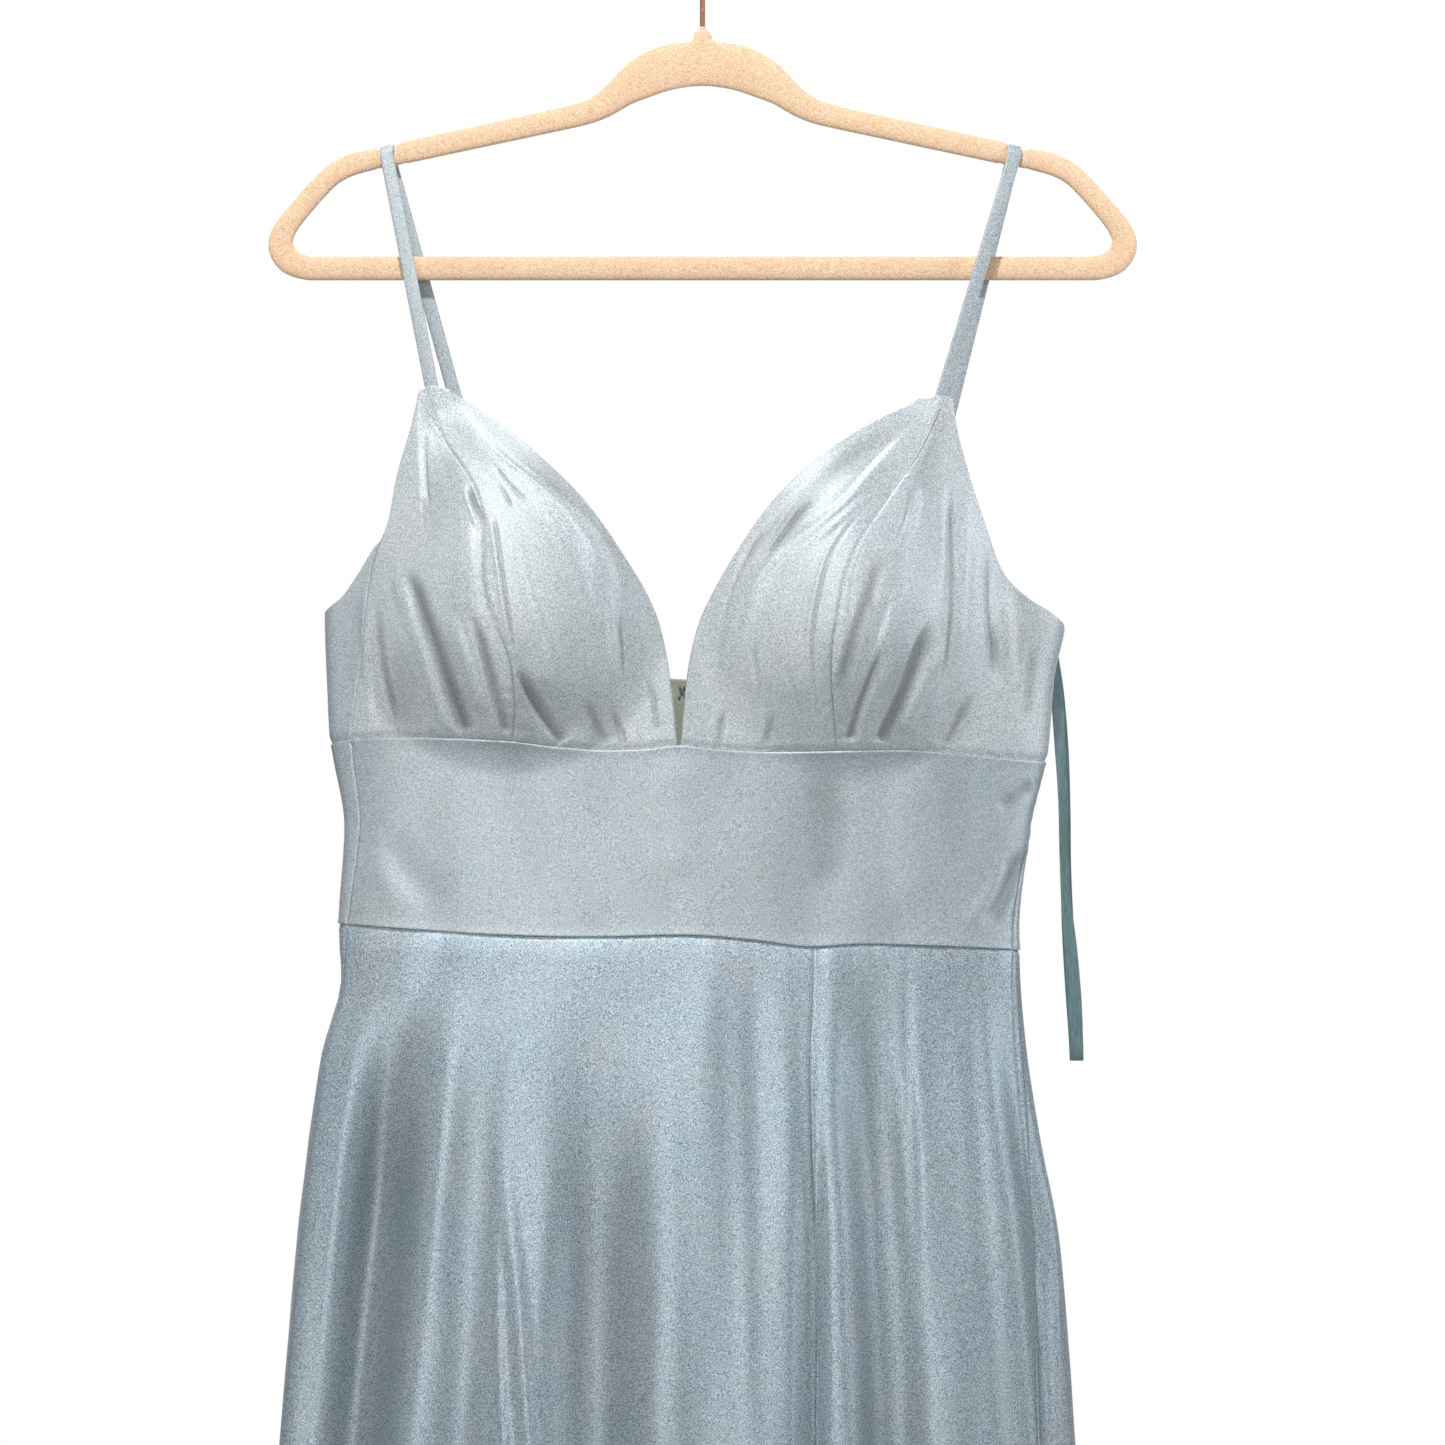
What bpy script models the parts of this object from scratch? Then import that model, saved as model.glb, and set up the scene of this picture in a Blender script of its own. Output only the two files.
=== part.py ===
"""A floor-length evening gown with thin straps, hung on a flocked hanger.

Metres, +Z up. The origin is where the hook bears on a rod. +X is the wearer's left, on the right of
someone who faces the gown, and -Y is the gown's front. Sizes below are millimetres: x runs sideways
from the hanger's middle, y runs from front to back, and drop is the distance below the rod.
"""

import math
from collections import namedtuple

import bmesh
import bpy
from mathutils import Vector

MM = 0.001

# Cloth
WALL = 1.4
SEAM_GAP = 0.3
BEND_WEIGHT = 16.0
STRAP_WIDTH = 7.0
STRAP_THICK = 1.2
RIBBON_WIDTH = 7.0
RIBBON_THICK = 1.0

# Heights of the gown, as drops below the rod
RIGHT_APEX = 283.0
LEFT_APEX = 288.0
BODICE_FOLDS_END = 584.0
WAIST = 500.0
HEM = 1652.0
HEM_TILT = 4.0
BACK_MIDDLE_X = 4.0

# Hanger
HANGER_THICK = 5.5
HANGER_ROUND = 1.6
HOOK_WIRE = 2.6
HOOK_RADIUS = 20.0
NECK_TOP = 101.4
NECK_WIDTH = 10.6

# Concealed zip at the centre back
ZIP_TOP = 437.0
ZIP_BOTTOM = 765.0
ZIP_TAPE_WIDTH = 24.0
ZIP_TAPE_THICK = 0.8
ZIP_TAPE_GAP = 0.55
SLIDER_DROP = 442.0
SLIDER_WIDTH = 3.4
SLIDER_LENGTH = 9.0
SLIDER_THICK = 0.9
ARCH_WIDTH = 1.6
ARCH_LENGTH = 6.0
ARCH_HOLE = (3.2, 2.0)
ARCH_TOP = 0.9
PIN = 0.9
PULL_WIDTH = 5.8
PULL_LENGTH = 21.0
PULL_THICK = 0.9
PULL_CLEARANCE = 4.3

# The gown as a plain tube: how far it reaches to each side and to the front and back.
Section = namedtuple("Section", "drop left right front back")
SECTIONS = [
    Section(270, -191, 187, 27, 13),
    Section(340, -192, 187, 30, 14),
    Section(400, -193, 186, 32, 15),
    Section(432, -192, 180, 31, 17),
    Section(466, -190, 177, 29, 18),
    Section(508, -183, 168, 27, 19),
    Section(558, -186, 162, 26, 20),
    Section(584, -184.5, 162.5, 27, 21),
    Section(622, -194, 165.5, 29, 23),
    Section(674, -202, 172.6, 32, 27),
    Section(724, -208, 180.2, 35, 31),
    Section(823, -216, 186.4, 40, 37),
    Section(1100, -238, 203, 46, 44),
    Section(1400, -262, 224, 48, 47),
    Section(1660, -280, 241, 49, 48),
]

# Each padded cup swells out of the tube.
Cup = namedtuple("Cup", "x drop reach across above below")
CUPS = [
    Cup(x=-99, drop=398, reach=27, across=84, above=112, below=84),
    Cup(x=77, drop=400, reach=27, across=84, above=112, below=84),
]

# Soft ridges (reach above 0) and troughs (below 0) that run between two points of the front.
Crease = namedtuple("Crease", "x1 drop1 x2 drop2 half_width reach")
CREASES = [
    Crease(-150, 388, -122, 462, 11, -3.2),
    Crease(-88, 440, -62, 462, 13, -3.0),
    Crease(-112, 345, -98, 436, 7, -1.8),
    Crease(119, 408, 84, 462, 10, -3.0),
    Crease(92, 392, 72, 462, 9, -2.6),
    Crease(128, 336, 121, 440, 8, -2.4),
    Crease(147, 362, 150, 430, 8, -2.2),
    Crease(-58, 350, -42, 432, 9, 2.0),
    Crease(36, 352, 14, 430, 9, 2.0),
]

# Flutes of the skirt. Angle is round the tube, in degrees from the front middle towards +X.
Flute = namedtuple("Flute", "angle_top angle_hem half_width reach starts")
FLUTES = [
    Flute(-76, -74, 12, 20, 600),
    Flute(-41, -55, 13, 25, 590),
    Flute(-24, -32, 11, 23, 680),
    Flute(-3, -9, 12, 26, 600),
    Flute(13, 11, 8, 21, 640),
    Flute(26, 30, 9, 24, 590),
    Flute(46, 50, 11, 22, 640),
    Flute(84, 80, 15, 20, 560),
    Flute(122, 116, 12, 24, 620),
    Flute(141, 139, 11, 25, 700),
    Flute(160, 159, 9, 22, 780),
    Flute(-160, -159, 10, 24, 780),
    Flute(-140, -139, 10, 25, 660),
    Flute(-119, -117, 13, 23, 600),
]
FLUTE_GROWTH = 0.9

# Outline of the front bodice, as x at each drop.
RIGHT_ARMHOLE = [(283, -144), (303, -148.5), (328, -155.5), (354, -160), (362, -163.5)]
RIGHT_SIDE_SEAM = [(362, -163.5), (376, -168), (405, -171.5), (433, -175.5), (466, -180)]
RIGHT_CUP_SEAM = [
    (283, -141), (308, -132.5), (327, -119), (339, -112.5), (352, -109.5), (386, -107),
    (405, -102), (433, -94.5), (447, -94), (466, -96.5),
]
RIGHT_NECKLINE = [
    (283, -133.5), (290, -122), (303, -102.5), (316, -85.5), (341, -59.5), (367, -41),
    (392, -26.5), (405, -21.5), (431, -16.5), (466, -12.9),
]
LEFT_NECKLINE = [
    (288, 117), (290, 112), (303, 84), (316, 63.5), (341, 36), (367, 17.5), (392, 3.3),
    (405, -2.3), (431, -7.9), (466, -11.1),
]
LEFT_CUP_SEAM = [
    (288, 124), (299, 119.3), (314, 112), (340, 93.8), (364, 77.4), (383, 69.8), (397, 67.2),
    (422, 64), (437, 64.6), (470, 68),
]
LEFT_ARMHOLE = [(288, 127.5), (303, 129.5), (328, 136), (354, 144), (367, 148.5), (379, 154),
                (392, 167.5), (398, 177.5), (404, 185)]

# Side seams as angles round the tube at each drop.
LEFT_SIDE_ANGLE = [(404, 85), (412, 97), (475, 94), (568, 79), (700, 72), (823, 66), (1660, 63)]
RIGHT_SIDE_ANGLE = [(466, -70), (558, -77), (600, -88), (680, -93), (1660, -95)]
SLIT_SEAM_ANGLE = [(568, 23), (823, 21), (1660, 19)]

# Level seams, as the drop at each x, and the back's top edge, as the drop at each angle.
BUST_SEAM_FRONT = [
    (-190, 466), (-180, 463.5), (-150, 462.7), (-104, 464), (-73, 467.5), (-50, 469), (-30, 468.5),
    (-12, 466.5), (8, 468.5), (40, 470), (100, 469), (127, 470.5), (152, 473), (177, 475),
]
WAIST_SEAM_FRONT = [
    (-186, 557.5), (-155, 559.8), (-104, 563), (-60, 564), (-10, 563), (25, 565.5), (56, 569),
    (80, 567.7), (126, 569), (162, 571),
]
BACK_TOP_EDGE = [
    (-182.4, 433), (-178, 432.5), (-153, 411), (-120, 402), (-90, 398.5), (-74, 392), (-65.5, 379.5),
    (-60.5, 367.5), (-57.9, 362),
]
BACK_TOP_EDGE_LEFT = [(97, 407.5), (120, 409), (147, 413), (172, 432.5), (177.6, 433)]

# Hanger: the middle of its bar from the top round one side to the trouser bar. A curved stretch
# starts at a station marked 1.
Station = namedtuple("Station", "x drop width curved")
HANGER_STATIONS = [
    Station(0, 118.2, 22.8, 1), Station(10, 118.9, 22.9, 1), Station(21, 121.2, 22.8, 1),
    Station(33, 126.9, 20.2, 1), Station(41.5, 132.7, 15.9, 1), Station(50.3, 139.2, 13.2, 1),
    Station(60, 143.5, 11.9, 0), Station(70, 146, 11.5, 0), Station(152.4, 163.7, 11.2, 0),
    Station(154.4, 165.1, 8.9, 0), Station(165.4, 167.3, 8.9, 0), Station(167.3, 166.9, 10.4, 0),
    Station(177, 169.1, 11, 1), Station(190, 175.8, 10.6, 1), Station(205.5, 192.6, 10.6, 1),
    Station(213.4, 203, 11.6, 1), Station(215.4, 211.6, 13, 1), Station(210.6, 219.4, 13, 1),
    Station(200, 222.8, 12.2, 0), Station(188, 222.8, 12.2, 0), Station(0, 222.8, 12.2, 0),
]

# Straps: where each one's middle leaves the cup, lies on the hanger and meets the back.
Strap = namedtuple("Strap", "name side front_x front_drop notch_x back_angle")
STRAPS = [
    Strap("strap_right", -1, -137.4, 289, -161.4, -151.6),
    Strap("strap_left", 1, 120.8, 294, 159.6, 147.2),
]
STRAP_LEAN = 12.0
NOTCH_TOP = 161.35
STRAP_TUCK = 7.0
STRAP_LOOSE = 0.35

# Hanging loop: one satin ribbon over the back's edge at the wearer's left underarm, folded double.
RibbonPoint = namedtuple("RibbonPoint", "x y drop turn")
HANGING_LOOP = [
    RibbonPoint(167, 3.1, 424, 0), RibbonPoint(169.2, 2.6, 412, 0), RibbonPoint(170.4, 3.2, 407, 0),
    RibbonPoint(171.8, 5.0, 405, 0), RibbonPoint(173.6, 7.0, 405.6, 0), RibbonPoint(175.4, 8.0, 410, 0),
    RibbonPoint(178.2, 8.2, 421, 0), RibbonPoint(181.2, 8.2, 440, 4), RibbonPoint(183.2, 8.0, 469, 10),
    RibbonPoint(184.6, 7.8, 495, 18), RibbonPoint(184.9, 7.6, 520, 24), RibbonPoint(186, 7.2, 546, 16),
    RibbonPoint(188.4, 7.0, 571, 6), RibbonPoint(190.4, 7.0, 597, 0), RibbonPoint(191.2, 7.2, 617, -4),
    RibbonPoint(191.4, 8.0, 625, -4), RibbonPoint(191.4, 9.6, 627.6, -4),
    RibbonPoint(191.3, 11.1, 625, -4), RibbonPoint(190.6, 11.6, 612, -2), RibbonPoint(188.6, 11.6, 585, 4),
    RibbonPoint(187, 11.7, 560, 12), RibbonPoint(185.9, 12.0, 530, 14), RibbonPoint(185.4, 12.2, 500, 8),
    RibbonPoint(184.2, 12.2, 470, 2), RibbonPoint(181.6, 12.0, 440, 0), RibbonPoint(178, 11.6, 417, 0),
    RibbonPoint(175.8, 10.4, 406, 0), RibbonPoint(173.6, 7.6, 402.2, 0), RibbonPoint(171.2, 4.2, 401.8, 0),
    RibbonPoint(169.2, 1.2, 405, 0), RibbonPoint(168.2, 0.6, 412, 0), RibbonPoint(166.5, 1.0, 424, 0),
]

CLOTH = (0.45, 0.53, 0.56)
COLOURS = {
    "satin": (*CLOTH, 0.45, 0.0),
    "ribbon": (0.20, 0.36, 0.39, 0.35, 0.0),
    "flock": (0.80, 0.55, 0.38, 0.95, 0.0),
    "copper": (0.55, 0.30, 0.22, 0.3, 1.0),
    "zip_tape": (0.40, 0.48, 0.51, 0.7, 0.0),
    "zip_metal": (0.45, 0.53, 0.56, 0.35, 0.3),
}


class Curve:
    """A smooth curve through a few points that never overshoots them and is level past its ends."""

    def __init__(self, points):
        self.at = [float(p[0]) for p in points]
        self.value = [float(p[1]) for p in points]
        count = len(self.at)
        rise = [
            (self.value[i + 1] - self.value[i]) / (self.at[i + 1] - self.at[i])
            for i in range(count - 1)
        ]
        self.slope = [rise[0]] + [0.0] * (count - 2) + [rise[-1]]
        for i in range(1, count - 1):
            if rise[i - 1] * rise[i] > 0:
                before = self.at[i] - self.at[i - 1]
                after = self.at[i + 1] - self.at[i]
                w1, w2 = 2 * after + before, after + 2 * before
                self.slope[i] = (w1 + w2) / (w1 / rise[i - 1] + w2 / rise[i])

    def __call__(self, at):
        if at <= self.at[0]:
            return self.value[0]
        if at >= self.at[-1]:
            return self.value[-1]
        i = next(k for k in range(len(self.at) - 1) if at <= self.at[k + 1])
        step = self.at[i + 1] - self.at[i]
        t = (at - self.at[i]) / step
        return (
            (1 + 2 * t) * (1 - t) ** 2 * self.value[i]
            + t * (1 - t) ** 2 * step * self.slope[i]
            + t * t * (3 - 2 * t) * self.value[i + 1]
            + t * t * (t - 1) * step * self.slope[i + 1]
        )


def mix(a, b, share):
    return a + (b - a) * share


def ease(t):
    """0 to 1 with level ends."""
    t = min(1.0, max(0.0, t))
    return t * t * (3 - 2 * t)


SECTION = {
    name: Curve([(row.drop, getattr(row, name)) for row in SECTIONS])
    for name in ("left", "right", "front", "back")
}


# The gown's surface

def ring_point(angle, drop):
    """A point of the plain tube at an angle, in degrees from the front middle towards +X."""
    a = math.radians(angle)
    left, right = SECTION["left"](drop), SECTION["right"](drop)
    depth = SECTION["front" if math.cos(a) > 0 else "back"](drop)
    x = (left + right) / 2 + (right - left) / 2 * math.sin(a)
    return Vector((x, -depth * math.cos(a), -drop))


def ring_out(angle, drop):
    """The level direction that points out of the plain tube."""
    along = ring_point(angle + 0.2, drop) - ring_point(angle - 0.2, drop)
    return Vector((along.y, -along.x, 0)).normalized()


def angle_of(x, drop):
    """The angle of the front of the tube at an x."""
    left, right = SECTION["left"](drop), SECTION["right"](drop)
    share = (x - (left + right) / 2) / ((right - left) / 2)
    return math.degrees(math.asin(max(-1.0, min(1.0, share))))


def cup_relief(x, drop):
    """How far the padded cups stand out of the tube."""
    total = 0.0
    for cup in CUPS:
        up = cup.above if drop < cup.drop else cup.below
        r2 = ((x - cup.x) / cup.across) ** 2 + ((drop - cup.drop) / up) ** 2
        if r2 < 1:
            total = max(total, cup.reach * (1 - r2) ** 1.6)
    return total


def crease_relief(x, drop):
    """The sum of the front bodice's folds at a point."""
    total = 0.0
    for c in CREASES:
        dx, dd = c.x2 - c.x1, c.drop2 - c.drop1
        along = ((x - c.x1) * dx + (drop - c.drop1) * dd) / (dx * dx + dd * dd)
        if -0.1 < along < 1.1:
            off = abs((x - c.x1) * dd - (drop - c.drop1) * dx) / math.hypot(dx, dd)
            if off < c.half_width:
                ends = ease((along + 0.1) / 0.35) * ease((1.1 - along) / 0.35)
                total += c.reach * ends * 0.5 * (1 + math.cos(math.pi * off / c.half_width))
    return total


def flute_relief(angle, drop):
    """The sum of the skirt's flutes at a point."""
    total = 0.0
    for f in FLUTES:
        if drop > f.starts:
            share = (drop - f.starts) / (HEM - f.starts)
            middle = mix(f.angle_top, f.angle_hem, share)
            off = abs((angle - middle + 180) % 360 - 180)
            if off < f.half_width:
                total += f.reach * share**FLUTE_GROWTH * 0.5 * (1 + math.cos(math.pi * off / f.half_width))
    return total


def surface(angle, drop):
    """A point of the gown's outer surface."""
    point = ring_point(angle, drop)
    relief = flute_relief(angle, drop)
    if math.cos(math.radians(angle)) > 0 and drop < BODICE_FOLDS_END:
        relief += cup_relief(point.x, drop) + crease_relief(point.x, drop)
    return point + ring_out(angle, drop) * relief


def outward(angle, drop):
    """The outer surface's normal."""
    along = surface(angle + 0.3, drop) - surface(angle - 0.3, drop)
    down = surface(angle, drop + 0.5) - surface(angle, drop - 0.5)
    return down.cross(along).normalized()


def seam_angle(edge, side):
    """An edge, as an angle at each drop, moved half a seam gap to one side of its seam."""

    def moved(drop):
        angle = edge(drop)
        per_degree = (surface(angle + 0.5, drop) - surface(angle - 0.5, drop)).length
        return angle + side * SEAM_GAP / 2 / per_degree

    return moved


def front_edge(points):
    """An outline of the front, given as x at each drop, as an angle at each drop."""
    curve = Curve(points)
    return lambda drop: angle_of(curve(drop), drop)


def level_seam(front_points):
    """A seam round the tube, as the drop at each angle. Its back runs straight from side to side."""
    front = Curve(front_points)

    def at(angle):
        x = ring_point(angle, front_points[0][1]).x
        if math.cos(math.radians(angle)) > 0:
            return front(x)
        first, last = front_points[0], front_points[-1]
        share = (x - first[0]) / (last[0] - first[0])
        return mix(first[1], last[1], min(1.0, max(0.0, share)))

    return at


# Seams and edges of the gown

bust_seam = level_seam(BUST_SEAM_FRONT)
waist_seam = level_seam(WAIST_SEAM_FRONT)
right_cup_seam = front_edge(RIGHT_CUP_SEAM)
left_cup_seam = front_edge(LEFT_CUP_SEAM)
right_neckline = front_edge(RIGHT_NECKLINE)
left_neckline = front_edge(LEFT_NECKLINE)
right_armhole = front_edge(RIGHT_ARMHOLE)
right_bodice_side = front_edge(RIGHT_SIDE_SEAM)
left_armhole = front_edge(LEFT_ARMHOLE)
left_side = Curve(LEFT_SIDE_ANGLE)
right_lower_side = Curve(RIGHT_SIDE_ANGLE)
slit_seam = Curve(SLIT_SEAM_ANGLE)
back_top_right = Curve(BACK_TOP_EDGE)
back_top_left = Curve(BACK_TOP_EDGE_LEFT)


def hem(angle):
    return HEM + HEM_TILT * math.sin(math.radians(angle))


def back_middle(drop):
    """The centre-back seam's angle, from the front middle towards +X."""
    left, right = SECTION["left"](drop), SECTION["right"](drop)
    share = (BACK_MIDDLE_X - (left + right) / 2) / ((right - left) / 2)
    return 180 - math.degrees(math.asin(share))


def back_middle_from_right(drop):
    return back_middle(drop) - 360


def right_side(drop):
    """The wearer's right side seam, or the armhole above it."""
    if drop < RIGHT_SIDE_SEAM[0][0]:
        return right_armhole(drop)
    if drop < RIGHT_SIDE_SEAM[-1][0]:
        return right_bodice_side(drop)
    return right_lower_side(drop)


def left_cup_edge(drop):
    """The wearer's left armhole, then the side seam, which lies just behind the tube's edge."""
    if drop < LEFT_ARMHOLE[-1][0]:
        return min(left_armhole(drop), left_side(drop))
    return left_side(drop)


def below(seam):
    return lambda angle: seam(angle) + SEAM_GAP / 2


def above(seam):
    return lambda angle: seam(angle) - SEAM_GAP / 2


# Solids

def new_object(name, vertices, faces, colour, smooth=True):
    """An object from points in millimetres, with its own material."""
    mesh = bpy.data.meshes.new(name)
    mesh.from_pydata([tuple(c * MM for c in v) for v in vertices], [], faces)
    mesh.update()
    if smooth:
        mesh.shade_smooth()
        mesh.set_sharp_from_angle(angle=math.radians(40))
    made = bpy.data.objects.new(name, mesh)
    bpy.context.scene.collection.objects.link(made)
    red, green, blue, roughness, metallic = COLOURS[colour]
    material = bpy.data.materials.new(name)
    material.use_nodes = True
    shader = material.node_tree.nodes["Principled BSDF"]
    shader.inputs["Base Color"].default_value = (red, green, blue, 1)
    shader.inputs["Roughness"].default_value = roughness
    shader.inputs["Metallic"].default_value = metallic
    mesh.materials.append(material)
    return made


def even_shares(start, end, drop, count):
    """Shares of an arc that split its length evenly, with more points where it bends."""
    fine = count * 12
    first, last = start(drop), end(drop)
    points = [surface(mix(first, last, k / fine), drop) for k in range(fine + 1)]
    measure = [0.0]
    for k in range(fine):
        step = points[k + 1] - points[k]
        before = step if k == 0 else points[k] - points[k - 1]
        turn = step.angle(before, 0.0)
        measure.append(measure[-1] + step.length + BEND_WEIGHT * turn)
    shares = []
    k = 0
    for i in range(count + 1):
        target = measure[-1] * i / count
        while k < fine - 1 and measure[k + 1] < target:
            k += 1
        part = (target - measure[k]) / (measure[k + 1] - measure[k])
        shares.append((k + min(1.0, part)) / fine)
    return shares


def even_rows(count, power=1.0):
    return [(i / count) ** power for i in range(count + 1)]


def wall_from(name, outer, inner, colour):
    """A closed wall between two grids of points. Rims that face each other split the same way."""
    rows, columns = len(outer), len(outer[0])
    size = rows * columns
    vertices = [p for row in outer for p in row] + [p for row in inner for p in row]
    faces = []
    for r in range(rows - 1):
        for c in range(columns - 1):
            a, b = r * columns + c, r * columns + c + 1
            d, e = a + columns, b + columns
            faces.append((a, b, e, d))
            faces.append((size + a, size + d, size + e, size + b))
    rim = [(0, c) for c in range(columns)]
    rim += [(r, columns - 1) for r in range(1, rows)]
    rim += [(rows - 1, c) for c in range(columns - 2, -1, -1)]
    rim += [(r, 0) for r in range(rows - 2, 0, -1)]
    for k, (r, c) in enumerate(rim):
        s, t = rim[(k + 1) % len(rim)]
        p, q = r * columns + c, s * columns + t
        if p < q:
            faces += [(q, p, size + q), (p, size + p, size + q)]
        else:
            faces += [(q, p, size + p), (q, size + p, size + q)]
    return new_object(name, vertices, faces, colour)


def edge_drop(start, end, edge, u):
    """The drop at which a column of a panel meets its bottom or top edge, settled by repetition."""
    drop = edge(start(WAIST))
    for _ in range(12):
        drop = edge(mix(start(drop), end(drop), u))
    return drop


def panel(name, start, end, bottom, top, across, up, even_at, lift=0.0, thick=WALL, colour="satin"):
    """A panel of the gown between two upright edges and two level ones."""
    rows = up if isinstance(up, list) else even_rows(up)
    outer = [[] for _ in rows]
    inner = [[] for _ in rows]
    for u in even_shares(start, end, even_at, across):
        low, high = edge_drop(start, end, bottom, u), edge_drop(start, end, top, u)
        for r, v in enumerate(rows):
            drop = mix(low, high, v)
            angle = mix(start(drop), end(drop), u)
            out = outward(angle, drop)
            point = surface(angle, drop) + out * lift
            outer[r].append(point)
            inner[r].append(point - out * thick)
    return wall_from(name, outer, inner, colour)


def cup_rows(bottom, kink, top, lower, upper):
    """Rows of a cup from its bottom seam to its apex, with one at the kink of its edge."""
    shares = [mix(0, (bottom - kink) / (bottom - top), i / lower) for i in range(lower)]
    for i in range(upper + 1):
        drop = top + (kink - top) * (1 - i / upper) ** 1.25
        shares.append((bottom - drop) / (bottom - top))
    return shares


def cups():
    """The four panels of the front bodice."""
    across = 12

    def right_top(angle):
        return RIGHT_APEX

    def left_top(angle):
        return LEFT_APEX

    right_rows = cup_rows(463.5, 362, RIGHT_APEX, 8, 7)
    left_rows = cup_rows(475, 408, LEFT_APEX, 6, 9)
    panel("cup_right_side", seam_angle(right_side, 1), seam_angle(right_cup_seam, -1),
          above(bust_seam), right_top, across, right_rows, 430)
    panel("cup_right_centre", seam_angle(right_cup_seam, 1), right_neckline,
          above(bust_seam), right_top, across, right_rows, 430)
    panel("cup_left_centre", left_neckline, seam_angle(left_cup_seam, -1),
          above(bust_seam), left_top, across, left_rows, 430)
    panel("cup_left_side", seam_angle(left_cup_seam, 1), seam_angle(left_cup_edge, -1),
          above(bust_seam), left_top, across + 2, left_rows, 430)


def back_bodice():
    """The two back panels above the waistband. The right one wraps forward to its side seam."""
    panel("back_top_right", seam_angle(back_middle_from_right, 1), seam_angle(right_side, -1),
          above(bust_seam), back_top_right, 20, 8, 440)
    panel("back_top_left", seam_angle(left_side, 1), seam_angle(back_middle, -1),
          above(bust_seam), back_top_left, 14, 6, 440)


def waistband():
    """The band under the bust, in one front and two back pieces."""
    panel("waistband_front", seam_angle(right_side, 1), seam_angle(left_side, -1),
          above(waist_seam), below(bust_seam), 34, 6, 510)
    panel("waistband_back_right", seam_angle(back_middle_from_right, 1), seam_angle(right_side, -1),
          above(waist_seam), below(bust_seam), 14, 6, 510)
    panel("waistband_back_left", seam_angle(left_side, 1), seam_angle(back_middle, -1),
          above(waist_seam), below(bust_seam), 13, 6, 510)


def skirt():
    """Four skirt panels from the waist seam to the hem."""
    rows = [1 - share for share in reversed(even_rows(12, 1.5))]
    panel("skirt_front_right", seam_angle(right_side, 1), seam_angle(slit_seam, -1),
          hem, below(waist_seam), 38, rows, 1500)
    panel("skirt_front_left", seam_angle(slit_seam, 1), seam_angle(left_side, -1),
          hem, below(waist_seam), 16, rows, 1500)
    panel("skirt_back_left", seam_angle(left_side, 1), seam_angle(back_middle, -1),
          hem, below(waist_seam), 34, rows, 1500)
    panel("skirt_back_right", seam_angle(back_middle_from_right, 1), seam_angle(right_side, -1),
          hem, below(waist_seam), 30, rows, 1500)


def strip(name, path, across, width, thick, colour):
    """A flat strip along a path. across gives its width direction at each point."""
    vertices = []
    for k, point in enumerate(path):
        ahead = path[min(k + 1, len(path) - 1)]
        behind = path[max(k - 1, 0)]
        along = (ahead - behind).normalized()
        side = (across[k] - along * across[k].dot(along)).normalized()
        face = along.cross(side)
        for s, t in ((-1, -1), (1, -1), (1, 1), (-1, 1)):
            vertices.append(point + side * (s * width / 2) + face * (t * thick / 2))
    faces = [(3, 2, 1, 0)]
    for k in range(len(path) - 1):
        for c in range(4):
            a, b = 4 * k + c, 4 * k + (c + 1) % 4
            faces.append((a, b, b + 4, a + 4))
    last = 4 * (len(path) - 1)
    faces.append((last, last + 1, last + 2, last + 3))
    return new_object(name, vertices, faces, colour)


def surface_across(angle, drop):
    """The direction across the gown's surface, towards +X."""
    along = (surface(angle + 1, drop) - surface(angle - 1, drop)).normalized()
    return along if along.x > 0 else -along


def rod(name, path, radius, sides, colour):
    """A round bar along a path that lies in the XZ plane."""
    vertices = []
    for k, point in enumerate(path):
        along = (path[min(k + 1, len(path) - 1)] - path[max(k - 1, 0)]).normalized()
        side = Vector((-along.z, 0, along.x))
        for c in range(sides):
            turn = 2 * math.pi * c / sides
            vertices.append(point + side * (radius * math.cos(turn)) + Vector((0, radius * math.sin(turn), 0)))
    faces = [tuple(range(sides - 1, -1, -1))]
    for k in range(len(path) - 1):
        for c in range(sides):
            a, b = k * sides + c, k * sides + (c + 1) % sides
            faces.append((a, b, b + sides, a + sides))
    top = (len(path) - 1) * sides
    faces.append(tuple(range(top, top + sides)))
    made = new_object(name, vertices, faces, colour)
    tidy_normals(made)


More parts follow.
